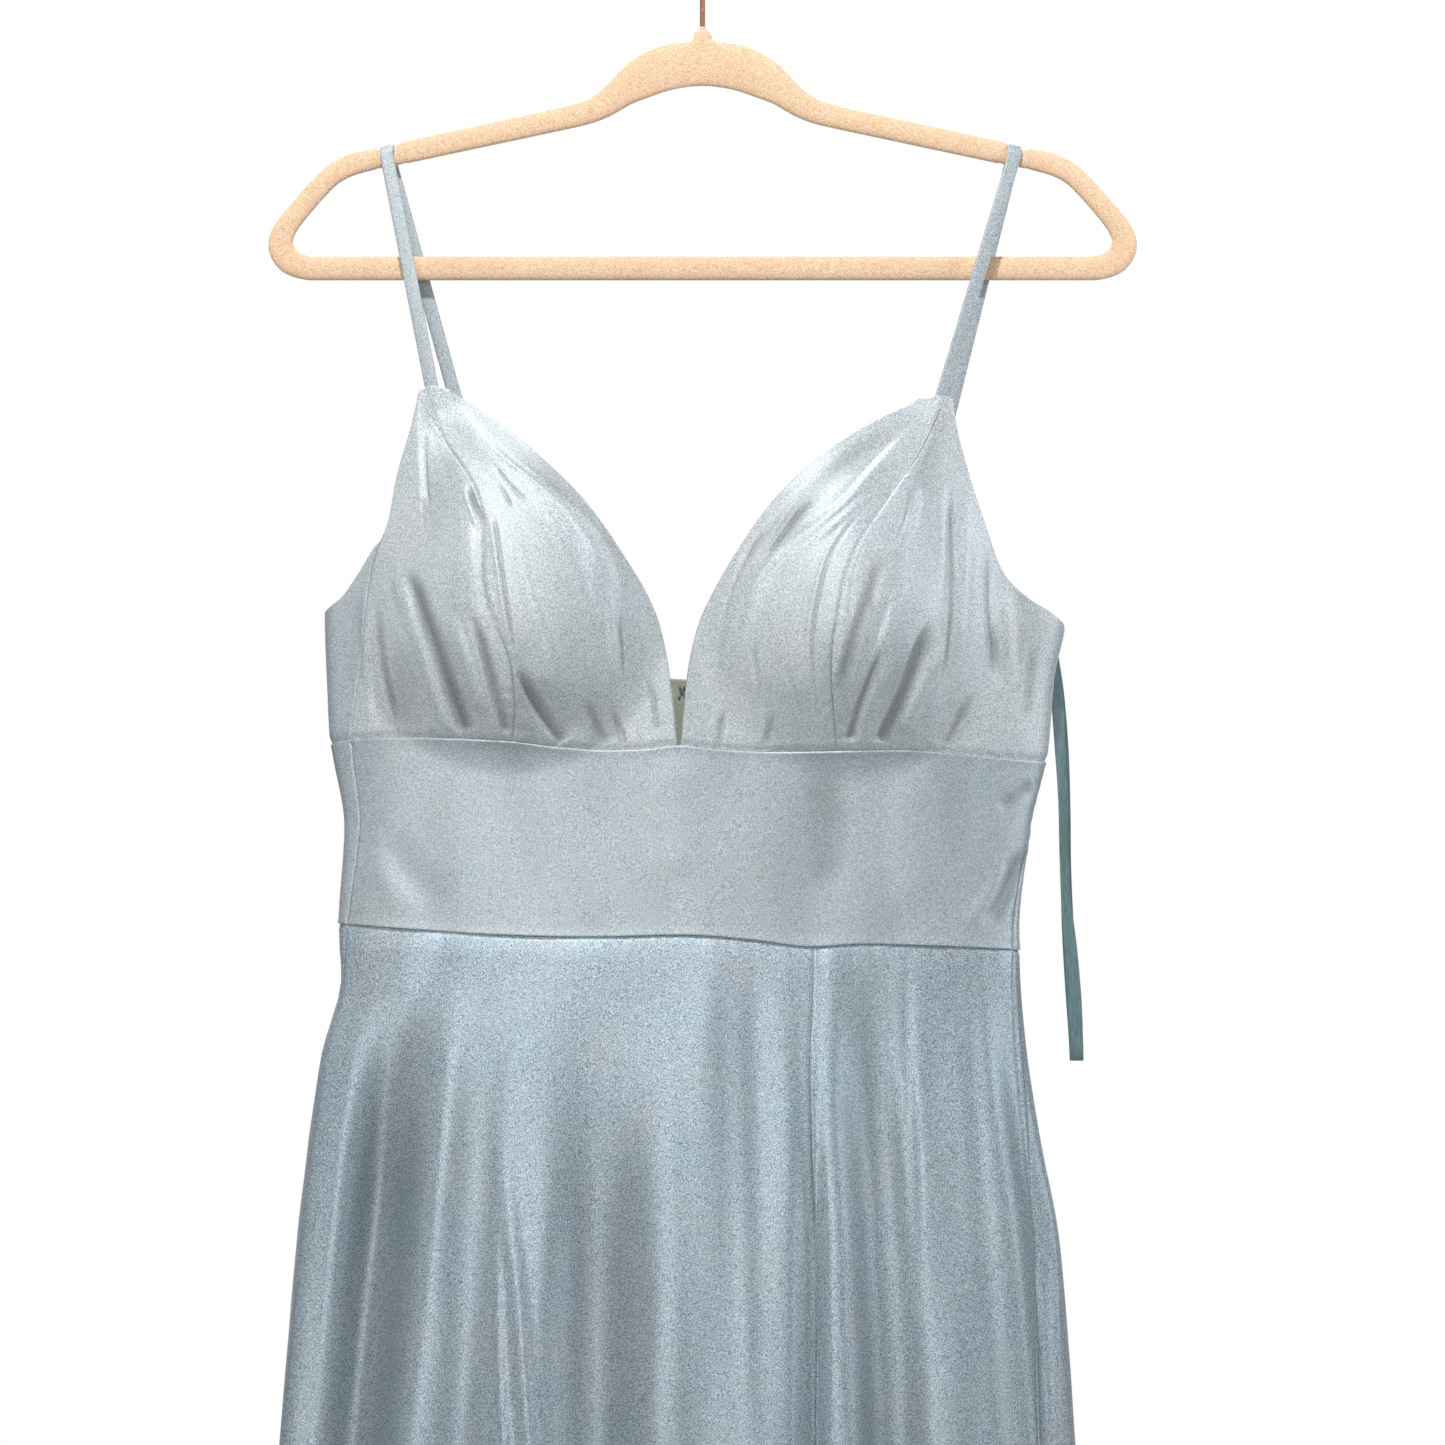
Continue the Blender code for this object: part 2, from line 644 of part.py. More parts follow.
def strap_path(strap):
    """A strap's middle points and width directions, from inside its cup to inside the back."""
    behind_wall = WALL + SEAM_GAP + STRAP_THICK / 2
    over = HANGER_THICK / 2 + SEAM_GAP + STRAP_THICK / 2 + 0.35
    front_angle = angle_of(strap.front_x, strap.front_drop)
    seat = surface(front_angle, strap.front_drop) - outward(front_angle, strap.front_drop) * behind_wall
    turn_drop = NOTCH_TOP - SEAM_GAP - STRAP_THICK / 2 + over
    top_front = Vector((strap.notch_x, -over, -turn_drop))
    back_edge = back_top_right if strap.side < 0 else back_top_left
    edge = back_edge(strap.back_angle)
    back_seat, back_rim = (
        surface(strap.back_angle, drop) - outward(strap.back_angle, drop) * (behind_wall + STRAP_LOOSE)
        for drop in (edge + STRAP_TUCK, edge - 3)
    )
    top_back = Vector((strap.notch_x - strap.side * 0.6, over, -turn_drop))
    lean = math.radians(STRAP_LEAN)
    level = Vector((math.cos(lean), 0, -strap.side * math.sin(lean)))
    at_front = surface_across(front_angle, strap.front_drop)
    at_back = surface_across(strap.back_angle, edge)
    path = [seat.lerp(top_front, k / 7) for k in range(8)]
    across = [at_front.lerp(level, ease(k / 7)) for k in range(8)]
    for k in range(1, 8):
        turn = math.pi * k / 8
        path.append(Vector((
            mix(top_front.x, top_back.x, k / 8),
            -over * math.cos(turn),
            -turn_drop + over * math.sin(turn),
        )))
        across.append(level)
    path += [top_back.lerp(back_rim, k / 9) for k in range(10)] + [back_seat]
    across += [level.lerp(at_back, ease(k / 8)) for k in range(10)] + [at_back]
    return path, across


def straps():
    """Both shoulder straps, each over its notch in the hanger."""
    for strap in STRAPS:
        path, across = strap_path(strap)
        strip(strap.name, path, across, STRAP_WIDTH, STRAP_THICK, "satin")


def with_middles(stations):
    """The stations, with one more in the middle of each curved stretch."""
    values = [Vector((s.x, s.drop, s.width)) for s in stations]
    before_first = Vector((-values[1].x, values[1].y, values[1].z))
    full = []
    for k, station in enumerate(stations):
        full.append(station)
        if station.curved:
            outer = (values[k - 1] if k else before_first) + values[k + 2]
            middle = (values[k] + values[k + 1]) * 9 / 16 - outer / 16
            full.append(Station(*middle, 1))
    return full


def hanger():
    """The flocked hanger: one closed bar, swept round with a width of its own at each station."""
    half = with_middles(HANGER_STATIONS)
    loop = half + [Station(-s.x, s.drop, s.width, s.curved) for s in reversed(half[1:-1])]
    count = len(loop)
    thick, cut = HANGER_THICK / 2, HANGER_ROUND
    vertices = []
    for k, station in enumerate(loop):
        before, after = loop[k - 1], loop[(k + 1) % count]
        along = Vector((after.x - before.x, 0, before.drop - after.drop)).normalized()
        out = Vector((-along.z, 0, along.x))
        middle = Vector((station.x, 0, -station.drop))
        reach = station.width / 2
        for o, y in ((1, -1), (1, 1), (-1, 1), (-1, -1)):
            corner = [(o * (reach - cut), y * thick), (o * reach, y * (thick - cut))]
            if o * y > 0:
                corner.reverse()
            for across, deep in corner:
                vertices.append(middle + out * across + Vector((0, deep, 0)))
    faces = []
    for k in range(count):
        for c in range(8):
            a, b = 8 * k + c, 8 * k + (c + 1) % 8
            d, e = 8 * ((k + 1) % count) + c, 8 * ((k + 1) % count) + (c + 1) % 8
            faces.append((a, b, e, d))
    made = new_object("hanger_body", vertices, faces, "flock")
    tidy_normals(made)


def hanger_neck():
    """The short round neck that holds the hook, seated on the arch."""
    base = HANGER_STATIONS[0].drop - HANGER_STATIONS[0].width / 2 - SEAM_GAP
    rise = base - NECK_TOP
    profile = [(1.0, 0.0), (0.97, 0.35), (0.82, 0.68), (0.5, 0.9), (0.3, 1.0)]
    sides = 16
    vertices = []
    for share, height in profile:
        for k in range(sides):
            turn = 2 * math.pi * k / sides
            x = NECK_WIDTH / 2 * share * math.cos(turn)
            y = HANGER_THICK / 2 * share * math.sin(turn)
            vertices.append(Vector((x, y, -base + rise * height)))
    faces = [tuple(range(sides - 1, -1, -1))]
    for r in range(len(profile) - 1):
        for k in range(sides):
            a, b = r * sides + k, r * sides + (k + 1) % sides
            faces.append((a, b, b + sides, a + sides))
    top = (len(profile) - 1) * sides
    faces.append(tuple(range(top, top + sides)))
    new_object("hanger_neck", vertices, faces, "flock")


def hook():
    """The wire hook: a stem, a bow to one side and a turn over the rod."""
    radius = HOOK_RADIUS + HOOK_WIRE / 2
    centre_drop = HOOK_RADIUS
    stem_top = centre_drop + radius + 16
    path = [Vector((0, 0, -(NECK_TOP - SEAM_GAP))), Vector((0, 0, -(NECK_TOP - 12)))]
    path += [Vector((0, 0, -mix(NECK_TOP - 12, stem_top, k / 2))) for k in (1, 2)]
    first = math.radians(-38)
    join = Vector((radius * math.cos(first), 0, -centre_drop + radius * math.sin(first)))
    handle = 13.0
    p0, p3 = path[-1], join
    p1 = p0 + Vector((0, 0, handle))
    p2 = p3 - Vector((-math.sin(first), 0, math.cos(first))) * handle
    for k in range(1, 7):
        t = k / 7
        path.append(
            p0 * (1 - t) ** 3 + p1 * 3 * t * (1 - t) ** 2 + p2 * 3 * t * t * (1 - t) + p3 * t**3
        )
    last = math.radians(196)
    for k in range(21):
        turn = mix(first, last, k / 20)
        path.append(Vector((radius * math.cos(turn), 0, -centre_drop + radius * math.sin(turn))))
    rod("hook", path, HOOK_WIRE / 2, 8, "copper")


def hanging_loop():
    """The folded ribbon that hangs outside the back at the wearer's left underarm."""
    path, across = [], []
    for point in HANGING_LOOP:
        turn = math.radians(point.turn)
        path.append(Vector((point.x, point.y, -point.drop)))
        across.append(Vector((math.cos(turn), math.sin(turn), 0)))
    strip("hanging_loop", path, across, RIBBON_WIDTH, RIBBON_THICK, "ribbon")


def zip_tape():
    """The zip's tape, inside the centre-back seam."""
    lift = -(WALL + ZIP_TAPE_GAP)

    def edge(side):
        def angle(drop):
            middle = back_middle(drop)
            per_degree = (surface(middle + 0.5, drop) - surface(middle - 0.5, drop)).length
            return middle + side * ZIP_TAPE_WIDTH / 2 / per_degree
        return angle

    panel("zip_tape", edge(-1), edge(1), lambda angle: ZIP_BOTTOM, lambda angle: ZIP_TOP,
          4, 14, 500, lift=lift, thick=ZIP_TAPE_THICK, colour="zip_tape")


def zip_seat():
    """The point on the centre-back seam, just outside the cloth, that the slider stands on."""
    lowest = SLIDER_DROP + SLIDER_LENGTH / 2
    seat = surface(back_middle(lowest), lowest)
    return Vector((seat.x, seat.y + SEAM_GAP, -SLIDER_DROP))


def block(name, low, high, colour):
    """A box between two corners."""
    corners = [(x, y, z) for x in (low.x, high.x) for y in (low.y, high.y) for z in (low.z, high.z)]
    faces = [(0, 1, 3, 2), (4, 6, 7, 5), (0, 4, 5, 1), (2, 3, 7, 6), (0, 2, 6, 4), (1, 5, 7, 3)]
    return new_object(name, corners, faces, colour, smooth=False)


def slider():
    """The zip's slider: a slim base on the seam and an arch that the pull tab hangs from."""
    seat = zip_seat()
    hole_length, hole_height = ARCH_HOLE
    base = block(
        "zip_slider",
        seat + Vector((-SLIDER_WIDTH / 2, 0, -SLIDER_LENGTH / 2)),
        seat + Vector((SLIDER_WIDTH / 2, SLIDER_THICK, SLIDER_LENGTH / 2)), "zip_metal")
    sunk = SLIDER_THICK / 2
    rise = SLIDER_THICK + hole_height
    profile = [
        (-ARCH_LENGTH / 2, sunk), (-ARCH_LENGTH / 2, rise + 0.2), (-ARCH_LENGTH / 2 + 0.9, rise + ARCH_TOP),
        (ARCH_LENGTH / 2 - 0.9, rise + ARCH_TOP), (ARCH_LENGTH / 2, rise + 0.2), (ARCH_LENGTH / 2, sunk),
        (hole_length / 2, sunk), (hole_length / 2, rise), (-hole_length / 2, rise), (-hole_length / 2, sunk),
    ]
    arch = prism("arch", [seat + Vector((0, y, z)) for z, y in profile], ARCH_WIDTH, "zip_metal")
    unite(base, arch)


def pull_tab():
    """The pull tab, hinged on the slider's arch and hanging down."""
    seat = zip_seat()
    pin = seat + Vector((0, SLIDER_THICK + ARCH_HOLE[1] / 2, 0))
    half = PULL_THICK / 2
    inner = ARCH_WIDTH / 2 + SEAM_GAP + 0.05
    shoulder = PULL_WIDTH / 2
    top = PIN / 2
    outline = [
        (-shoulder + 0.5, top), (shoulder - 0.5, top), (shoulder, top - 0.5), (shoulder, -PULL_LENGTH + 6),
        (shoulder - 0.5, -PULL_LENGTH + 2.2), (1.3, -PULL_LENGTH), (-1.3, -PULL_LENGTH),
        (-shoulder + 0.5, -PULL_LENGTH + 2.2), (-shoulder, -PULL_LENGTH + 6), (-shoulder, top - 0.5),
    ]
    hole = [(-inner, -top), (inner, -top), (inner, -PULL_CLEARANCE), (-inner, -PULL_CLEARANCE)]
    plate = slab("zip_pull", [pin + Vector((x, 0, z)) for x, z in outline], half, "zip_metal")
    cutter = slab("pull_hole", [pin + Vector((x, 0, z)) for x, z in hole], half + 1, "zip_metal")
    cutter.hide_render = True
    cutter.display_type = "WIRE"
    cut = plate.modifiers.new("hole", "BOOLEAN")
    cut.operation = "DIFFERENCE"
    cut.solver = "EXACT"
    cut.object = cutter
    recentre(plate, pin)


def prism(name, profile, width, colour):
    """A profile in the YZ plane, spread along X."""
    count = len(profile)
    shift = Vector((width / 2, 0, 0))
    vertices = [p - shift for p in profile] + [p + shift for p in profile]
    faces = [tuple(range(count)), tuple(range(2 * count - 1, count - 1, -1))]
    faces += [(k, count + k, count + (k + 1) % count, (k + 1) % count) for k in range(count)]
    made = new_object(name, vertices, faces, colour, smooth=False)
    tidy_normals(made)
    return made


def slab(name, profile, half, colour):
    """A profile in the XZ plane, spread along Y to both sides."""
    count = len(profile)
    shift = Vector((0, half, 0))
    vertices = [p - shift for p in profile] + [p + shift for p in profile]
    faces = [tuple(range(count)), tuple(range(2 * count - 1, count - 1, -1))]
    faces += [(k, count + k, count + (k + 1) % count, (k + 1) % count) for k in range(count)]
    made = new_object(name, vertices, faces, colour, smooth=False)
    tidy_normals(made)
    return made


def unite(base, other):
    """Joins a second body to the first and hides it."""
    other.hide_render = True
    other.display_type = "WIRE"
    join = base.modifiers.new("join", "BOOLEAN")
    join.operation = "UNION"
    join.solver = "EXACT"
    join.object = other


def recentre(made, centre):
    """Puts an object's origin at a point in millimetres without moving its shape."""
    for vertex in made.data.vertices:
        vertex.co -= centre * MM
    made.location = centre * MM


def tidy_normals(made):
    """Points every face outwards."""
    work = bmesh.new()
    work.from_mesh(made.data)
    bmesh.ops.recalc_face_normals(work, faces=work.faces)
    work.to_mesh(made.data)
    work.free()


def main():
    for old in list(bpy.data.objects):
        bpy.data.objects.remove(old)
    cups()
    back_bodice()
    waistband()
    skirt()
    straps()
    hanger()
    hanger_neck()
    hook()
    hanging_loop()
    zip_tape()
    slider()
    pull_tab()


main()
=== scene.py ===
# %% [markdown]
# # An evening gown on its hanger
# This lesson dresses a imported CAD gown. Its solids are plain walls; here they get gathers, rolled
# edges, seams, stitches and a satin finish. In the tables below, x is in millimetres and runs to the
# right of someone who faces the gown, drop is how far below the rod a point is, and an angle runs
# round the gown, in degrees from its front middle towards +X. Only the finished meshes are in metres.

import math
from collections import namedtuple

import bmesh
import bpy
import numpy as np
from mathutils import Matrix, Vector


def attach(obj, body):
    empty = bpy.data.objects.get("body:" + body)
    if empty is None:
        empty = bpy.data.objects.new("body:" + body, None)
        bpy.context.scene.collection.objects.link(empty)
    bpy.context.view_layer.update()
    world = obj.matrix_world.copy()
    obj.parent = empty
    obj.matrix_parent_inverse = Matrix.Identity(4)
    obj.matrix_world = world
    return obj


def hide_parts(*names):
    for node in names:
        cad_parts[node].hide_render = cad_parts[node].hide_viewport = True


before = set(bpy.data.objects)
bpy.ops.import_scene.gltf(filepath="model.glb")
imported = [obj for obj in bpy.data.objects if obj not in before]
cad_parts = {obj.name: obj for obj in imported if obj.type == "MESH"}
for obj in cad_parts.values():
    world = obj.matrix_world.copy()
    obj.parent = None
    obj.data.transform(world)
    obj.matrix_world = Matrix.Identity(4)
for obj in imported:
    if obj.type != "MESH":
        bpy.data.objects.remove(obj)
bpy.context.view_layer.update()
MM = 0.001


def placed(name, data):
    """A new object at the origin that shows some data."""
    made = bpy.data.objects.new(name, data)
    bpy.context.scene.collection.objects.link(made)
    return made


def placed_work(name, work):
    """A new object from a bmesh, which ends with this."""
    mesh = bpy.data.meshes.new(name)
    work.to_mesh(mesh)
    work.free()
    return placed(name, mesh)


# %% [markdown]
# ## The view
# The photograph looks straight at the gown's front from well back, so its upright lines stay upright.
# A long lens far away gives that, and the lens follows from how wide a piece of the gown is seen.

# %% Set the camera
VIEW_WIDTH = 0.7384
VIEW_CENTRE = Vector((0.0102, 0, -0.4548))
CAMERA_DISTANCE = 7.0
SENSOR_WIDTH = 36

camera = placed("camera", bpy.data.cameras.new("camera"))
camera.data.sensor_width = SENSOR_WIDTH
camera.data.lens = SENSOR_WIDTH * CAMERA_DISTANCE / VIEW_WIDTH
camera.data.clip_end = 100
camera.location = VIEW_CENTRE - Vector((0, CAMERA_DISTANCE, 0))
camera.rotation_euler = (math.radians(90), 0, 0)
bpy.context.scene.camera = camera
print(f"lens {camera.data.lens:.0f} mm")

# %% [markdown]
# ## Light and surroundings
# The cloth is lit from high in front and a little from the left, which brightens the upper halves of
# the cups and darkens the lower ones. One small lamp gives that direction. Two wide ones in front fill
# the shadows, two at the sides pick out the outer folds, and two far behind keep the back readable. The
# camera sees white surroundings, and the cloth gets a small share of them, so that its folds keep depth.

# %% Place the lamps, the floor and the pale surroundings
FLOOR_Z, FLOOR_RADIUS, FLOOR_THICK = -1.72, 2.6, 0.02
LIT_POINT = Vector((0, 0, -0.5))
SURROUNDINGS_SHARE = 0.13


def lamp(name, azimuth, elevation, distance, size, power, colour=(1, 1, 1)):
    """A square lamp that faces the gown. Azimuth 0 is in front, and positive is to the right."""
    data = bpy.data.lights.new(name, "AREA")
    data.size = size
    data.energy = power
    data.color = colour
    made = placed(name, data)
    a, e = math.radians(azimuth), math.radians(elevation)
    way = Vector((math.sin(a) * math.cos(e), -math.cos(a) * math.cos(e), math.sin(e)))
    made.location = LIT_POINT + way * distance
    made.rotation_mode = "QUATERNION"
    made.rotation_quaternion = (-way).to_track_quat("-Z", "Y")
    made.visible_camera = False


lamp("key lamp", -14, 58, 1.8, 0.10, 27, (1.0, 0.99, 0.97))
lamp("left fill lamp", -20, 20, 1.9, 0.7, 8.6, (1.0, 0.99, 0.98))
lamp("right fill lamp", 14, 12, 1.9, 0.7, 3.4, (0.90, 0.97, 1.0))
lamp("left side lamp", -74, 24, 0.95, 0.3, 1.3, (1.0, 0.99, 0.98))
lamp("right side lamp", 70, 22, 0.95, 0.3, 3.5, (0.94, 0.98, 1.0))
lamp("left back lamp", -150, 42, 5.0, 1.2, 120)
lamp("right back lamp", 140, 30, 5.0, 1.2, 95)

world = bpy.data.worlds.new("pale surroundings")
bpy.context.scene.world = world
world.use_nodes = True
sky = world.node_tree
background = sky.nodes["Background"]
seen = sky.nodes.new("ShaderNodeLightPath")
level = sky.nodes.new("ShaderNodeMapRange")
level.inputs["To Min"].default_value = SURROUNDINGS_SHARE
level.inputs["To Max"].default_value = 1.0
sky.links.new(seen.outputs["Is Camera Ray"], level.inputs["Value"])
sky.links.new(level.outputs["Result"], background.inputs["Strength"])
background.inputs["Color"].default_value = (1, 1, 1, 1)
bpy.context.scene.view_settings.view_transform = "Standard"

# %% [markdown]
# ### The floor
# A plain pale floor lies well below the hem, so that the gown hangs free. A large cylinder is made
# with its place in its mesh, and its finish has a faint grain like painted board.

# %% Lay the floor
def floor_disc():
    shape = bmesh.new()
    bmesh.ops.create_cone(shape, cap_ends=True, segments=96, radius1=FLOOR_RADIUS, radius2=FLOOR_RADIUS,
                          depth=FLOOR_THICK)
    bmesh.ops.translate(shape, verts=shape.verts, vec=(0, 0, FLOOR_Z - FLOOR_THICK / 2))
    return placed_work("pale_floor", shape)


pale_floor = floor_disc()
print("the floor lies", round(-FLOOR_Z * 1000), "mm below the rod")

# %% [markdown]
# ## Finishes
# Every finish is a Principled shader with a few noise patterns in it. The small class below keeps the
# node trees short: noise() makes a pattern of a given grain size, spread() stretches its middle range
# to two values, blend() mixes two colours, patches() mixes one in here and there, and bump() turns a
# pattern into relief. Patterns read Object coordinates, in which the pieces stay still, so the grain
# runs on over a seam as on real cloth.


# %% Define how a finish is built
class Finish:
    """A material that is put together pattern by pattern."""

    def __init__(self, name, colour, roughness, **inputs):
        self.material = bpy.data.materials.new(name)
        self.material.use_nodes = True
        self.material.diffuse_color = (*colour, 1)
        self.tree = self.material.node_tree
        self.shader = self.tree.nodes["Principled BSDF"]
        self.shader.inputs["Base Color"].default_value = (*colour, 1)
        self.shader.inputs["Roughness"].default_value = roughness
        for key, value in inputs.items():
            self.shader.inputs[key.replace("_", " ")].default_value = value
        self.place = self.tree.nodes.new("ShaderNodeTexCoord").outputs["Object"]

    def link(self, source, socket):
        self.tree.links.new(source, socket)

    def noise(self, grain_mm, detail=1.5, stretch=(1, 1, 1), seed=0.0):
        """A soft random pattern. stretch divides its frequency along each axis."""
        mapping = self.tree.nodes.new("ShaderNodeMapping")
        mapping.inputs["Scale"].default_value = [1 / s for s in stretch]
        mapping.inputs["Location"].default_value = (seed, seed * 0.7, seed * 1.3)
        self.link(self.place, mapping.inputs["Vector"])
        node = self.tree.nodes.new("ShaderNodeTexNoise")
        node.inputs["Scale"].default_value = 1000 / grain_mm
        node.inputs["Detail"].default_value = detail
        self.link(mapping.outputs["Vector"], node.inputs["Vector"])
        return node.outputs["Fac"]

    def spread(self, value, low, high, start=0.32, end=0.68):
        node = self.tree.nodes.new("ShaderNodeMapRange")
        self.link(value, node.inputs["Value"])
        for key, number in (("From Min", start), ("From Max", end), ("To Min", low), ("To Max", high)):
            node.inputs[key].default_value = number
        return node.outputs["Result"]

    def blend(self, share, first, second):
        node = self.tree.nodes.new("ShaderNodeMix")
        node.data_type = "RGBA"
        self.link(share, node.inputs["Factor"])
        for socket, colour in ((node.inputs[6], first), (node.inputs[7], second)):
            if isinstance(colour, tuple):
                socket.default_value = (*colour, 1)
            else:
                self.link(colour, socket)
        return node.outputs[2]

    def patches(self, base, colour, grain_mm, share, seed):
        """A second colour mixed into a base in soft patches, up to a share."""
        return self.blend(self.spread(self.noise(grain_mm, 2.0, seed=seed), 0.0, share), base, colour)

    def bump(self, height, depth_mm, strength=1.0):
        node = self.tree.nodes.new("ShaderNodeBump")
        node.inputs["Distance"].default_value = depth_mm * MM
        node.inputs["Strength"].default_value = strength
        self.link(height, node.inputs["Height"])
        self.link(node.outputs["Normal"], self.shader.inputs["Normal"])

    def colour(self, source):
        self.link(source, self.shader.inputs["Base Color"])

    def roughness(self, source):
        self.link(source, self.shader.inputs["Roughness"])


# %% [markdown]
# ### Crepe-back satin
# The gown's cloth is a satin whose tightly twisted yarns break its shine into a fine sandy grain. Two
# grains, of 0.6 and 1.3 mm, mix a darker and a lighter blue-grey, and the finer one makes a shallow
# bump, so single points of the cloth glint. Wide clouds of rose and teal are mixed in faintly, because
# the dyed yarns change their cast as they turn. A constant sheen lifts the edges that turn away.
# The cups, the skirt and the straps get copies of this cloth in other tints. The cups' copy is paler,
# as painted light, and a little rougher and less metallic. The skirt's copy is darker and bluer and the
# straps' copy is darker, both as painted shade. In creases the colour is darkened towards near black as
# painted shade, through an attribute that each panel stores on its points when it is sewn.

# %% Make the satin and its lining side
SATIN_LIGHT = (0.60, 0.665, 0.70)
SATIN_DARK = (0.27, 0.325, 0.36)
SATIN_IN_SHADOW = (0.065, 0.065, 0.07)


def satin_finish(name, light, dark, glint=0.55, metallic=0.40, rough=0.56):
    finish = Finish(
        name, light, rough, Metallic=metallic, Specular_IOR_Level=glint, Anisotropic=0.7,
        Anisotropic_Rotation=0.25, Sheen_Weight=0.10, Sheen_Roughness=0.4,
        Sheen_Tint=(1.0, 0.95, 0.94, 1),
    )
    thread_way = finish.tree.nodes.new("ShaderNodeTangent")
    thread_way.direction_type = "UV_MAP"
    thread_way.uv_map = "cloth"
    finish.link(thread_way.outputs["Tangent"], finish.shader.inputs["Tangent"])
    fine = finish.noise(0.6, 0.5)
    coarse = finish.noise(1.3, 0.5, seed=3.0)
    weave = finish.blend(finish.spread(fine, 0.0, 1.0, 0.36, 0.64), dark, light)
    grains = finish.blend(finish.spread(coarse, 0.0, 0.12, 0.36, 0.66), weave, light)
    rose = finish.patches(grains, (0.62, 0.52, 0.52), 34, 0.13, 5.0)
    teal = finish.patches(rose, (0.30, 0.47, 0.51), 60, 0.15, 8.0)
    # Painted shade: an attribute darkens the colour towards near black deep in the creases.
    painted_crease_shade = finish.tree.nodes.new("ShaderNodeAttribute")
    painted_crease_shade.attribute_name = "painted_crease_shade"
    finish.colour(finish.blend(painted_crease_shade.outputs["Fac"], teal, SATIN_IN_SHADOW))
    finish.roughness(finish.spread(fine, rough - 0.05, rough + 0.05))
    finish.bump(fine, 0.05, 0.8)
    return finish.material


def tinted(colour, *shares):
    return tuple(value * share for value, share in zip(colour, shares))


satin = satin_finish("dusty blue satin", tinted(SATIN_LIGHT, 0.94, 0.94, 0.95), SATIN_DARK)
# Copies of the satin in other tints: a paler one for the cups as painted light, and darker ones for the
# skirt, also bluer, and for the straps, as painted shade.
cup_satin_painted_paler = satin_finish(
    "dusty blue satin painted paler", tinted(SATIN_LIGHT, 1.13, 1.10, 1.09),
    tinted(SATIN_DARK, 1.2, 1.12, 1.08), metallic=0.34, rough=0.62)
skirt_satin_painted_darker = satin_finish(
    "dusty blue satin painted darker and bluer", tinted(SATIN_LIGHT, 0.905, 0.965, 1.025),
    tinted(SATIN_DARK, 0.60, 0.67, 0.74), metallic=0.50, rough=0.54)
strap_satin_painted_darker = satin_finish(
    "dusty blue satin painted darker for straps", tinted(SATIN_LIGHT, 0.82, 0.80, 0.80),
    tinted(SATIN_DARK, 0.80, 0.80, 0.80), metallic=0.30, rough=0.62)
lining = satin_finish(
    "lining side of the satin", (0.46, 0.475, 0.41), (0.29, 0.30, 0.25), glint=0.3)
print("finishes:", ", ".join(m.name for m in (satin, cup_satin_painted_paler, skirt_satin_painted_darker, strap_satin_painted_darker, lining)))

# %% [markdown]
# ### The other finishes
# Flock is short fibre glued on plastic: matt, sandy and a little lighter where it catches light, so it
# has a strong fine grain and a sheen. The ribbon is smooth satin with fine lengthwise lines. The zip has
# a woven tape, coil teeth of plain plastic and a lacquered slider. The hook is copper-plated wire.


# %% Make flock, ribbon, zip and wire
def flock_finish():
    finish = Finish("beige flock", (0.66, 0.45, 0.30), 0.95, Sheen_Weight=0.35, Sheen_Roughness=0.5,
                    Sheen_Tint=(1.0, 0.9, 0.78, 1), Specular_IOR_Level=0.2)
    fine = finish.noise(0.8, 1.5)
    sand = finish.blend(finish.spread(fine, 0.0, 1.0), (0.52, 0.335, 0.21), (0.83, 0.61, 0.42))
    tufts = finish.patches(sand, (0.78, 0.56, 0.39), 2.2, 0.4, 2.0)
    finish.colour(finish.patches(tufts, (0.58, 0.36, 0.23), 30, 0.18, 4.0))
    finish.bump(fine, 0.35, 0.8)
    return finish.material


def ribbon_finish():
    finish = Finish("teal satin ribbon", (0.11, 0.185, 0.20), 0.42, Sheen_Weight=0.1,
                    Specular_IOR_Level=0.6, Anisotropic=0.4)
    lines = finish.noise(0.5, 1.0, stretch=(1, 1, 14))
    finish.colour(finish.blend(finish.spread(lines, 0.0, 1.0), (0.085, 0.15, 0.16), (0.14, 0.225, 0.24)))
    finish.roughness(finish.spread(lines, 0.36, 0.5))
    finish.bump(lines, 0.05, 0.5)
    return finish.material


def tape_finish():
    finish = Finish("zip tape", (0.38, 0.45, 0.48), 0.75, Sheen_Weight=0.1, Specular_IOR_Level=0.3)
    ribs = finish.noise(0.6, 0.5, stretch=(1, 1, 0.5))
    finish.colour(finish.blend(finish.spread(ribs, 0.0, 1.0), (0.30, 0.36, 0.385), (0.44, 0.52, 0.55)))
    finish.bump(ribs, 0.15, 0.6)
    return finish.material


def worn_finish(name, colour, worn, roughness, metallic, grain_mm):
    """A hard finish with fine wear: a second colour in small patches."""
    finish = Finish(name, colour, roughness, Metallic=metallic)
    wear = finish.noise(grain_mm, 3.0)
    finish.colour(finish.blend(finish.spread(wear, 0.0, 0.8, 0.42, 0.72), colour, worn))
    rubbed = finish.noise(grain_mm * 2, 2.0, seed=1.0)
    finish.roughness(finish.spread(rubbed, roughness - 0.08, roughness + 0.1))
    finish.bump(wear, 0.02, 0.4)
    return finish.material


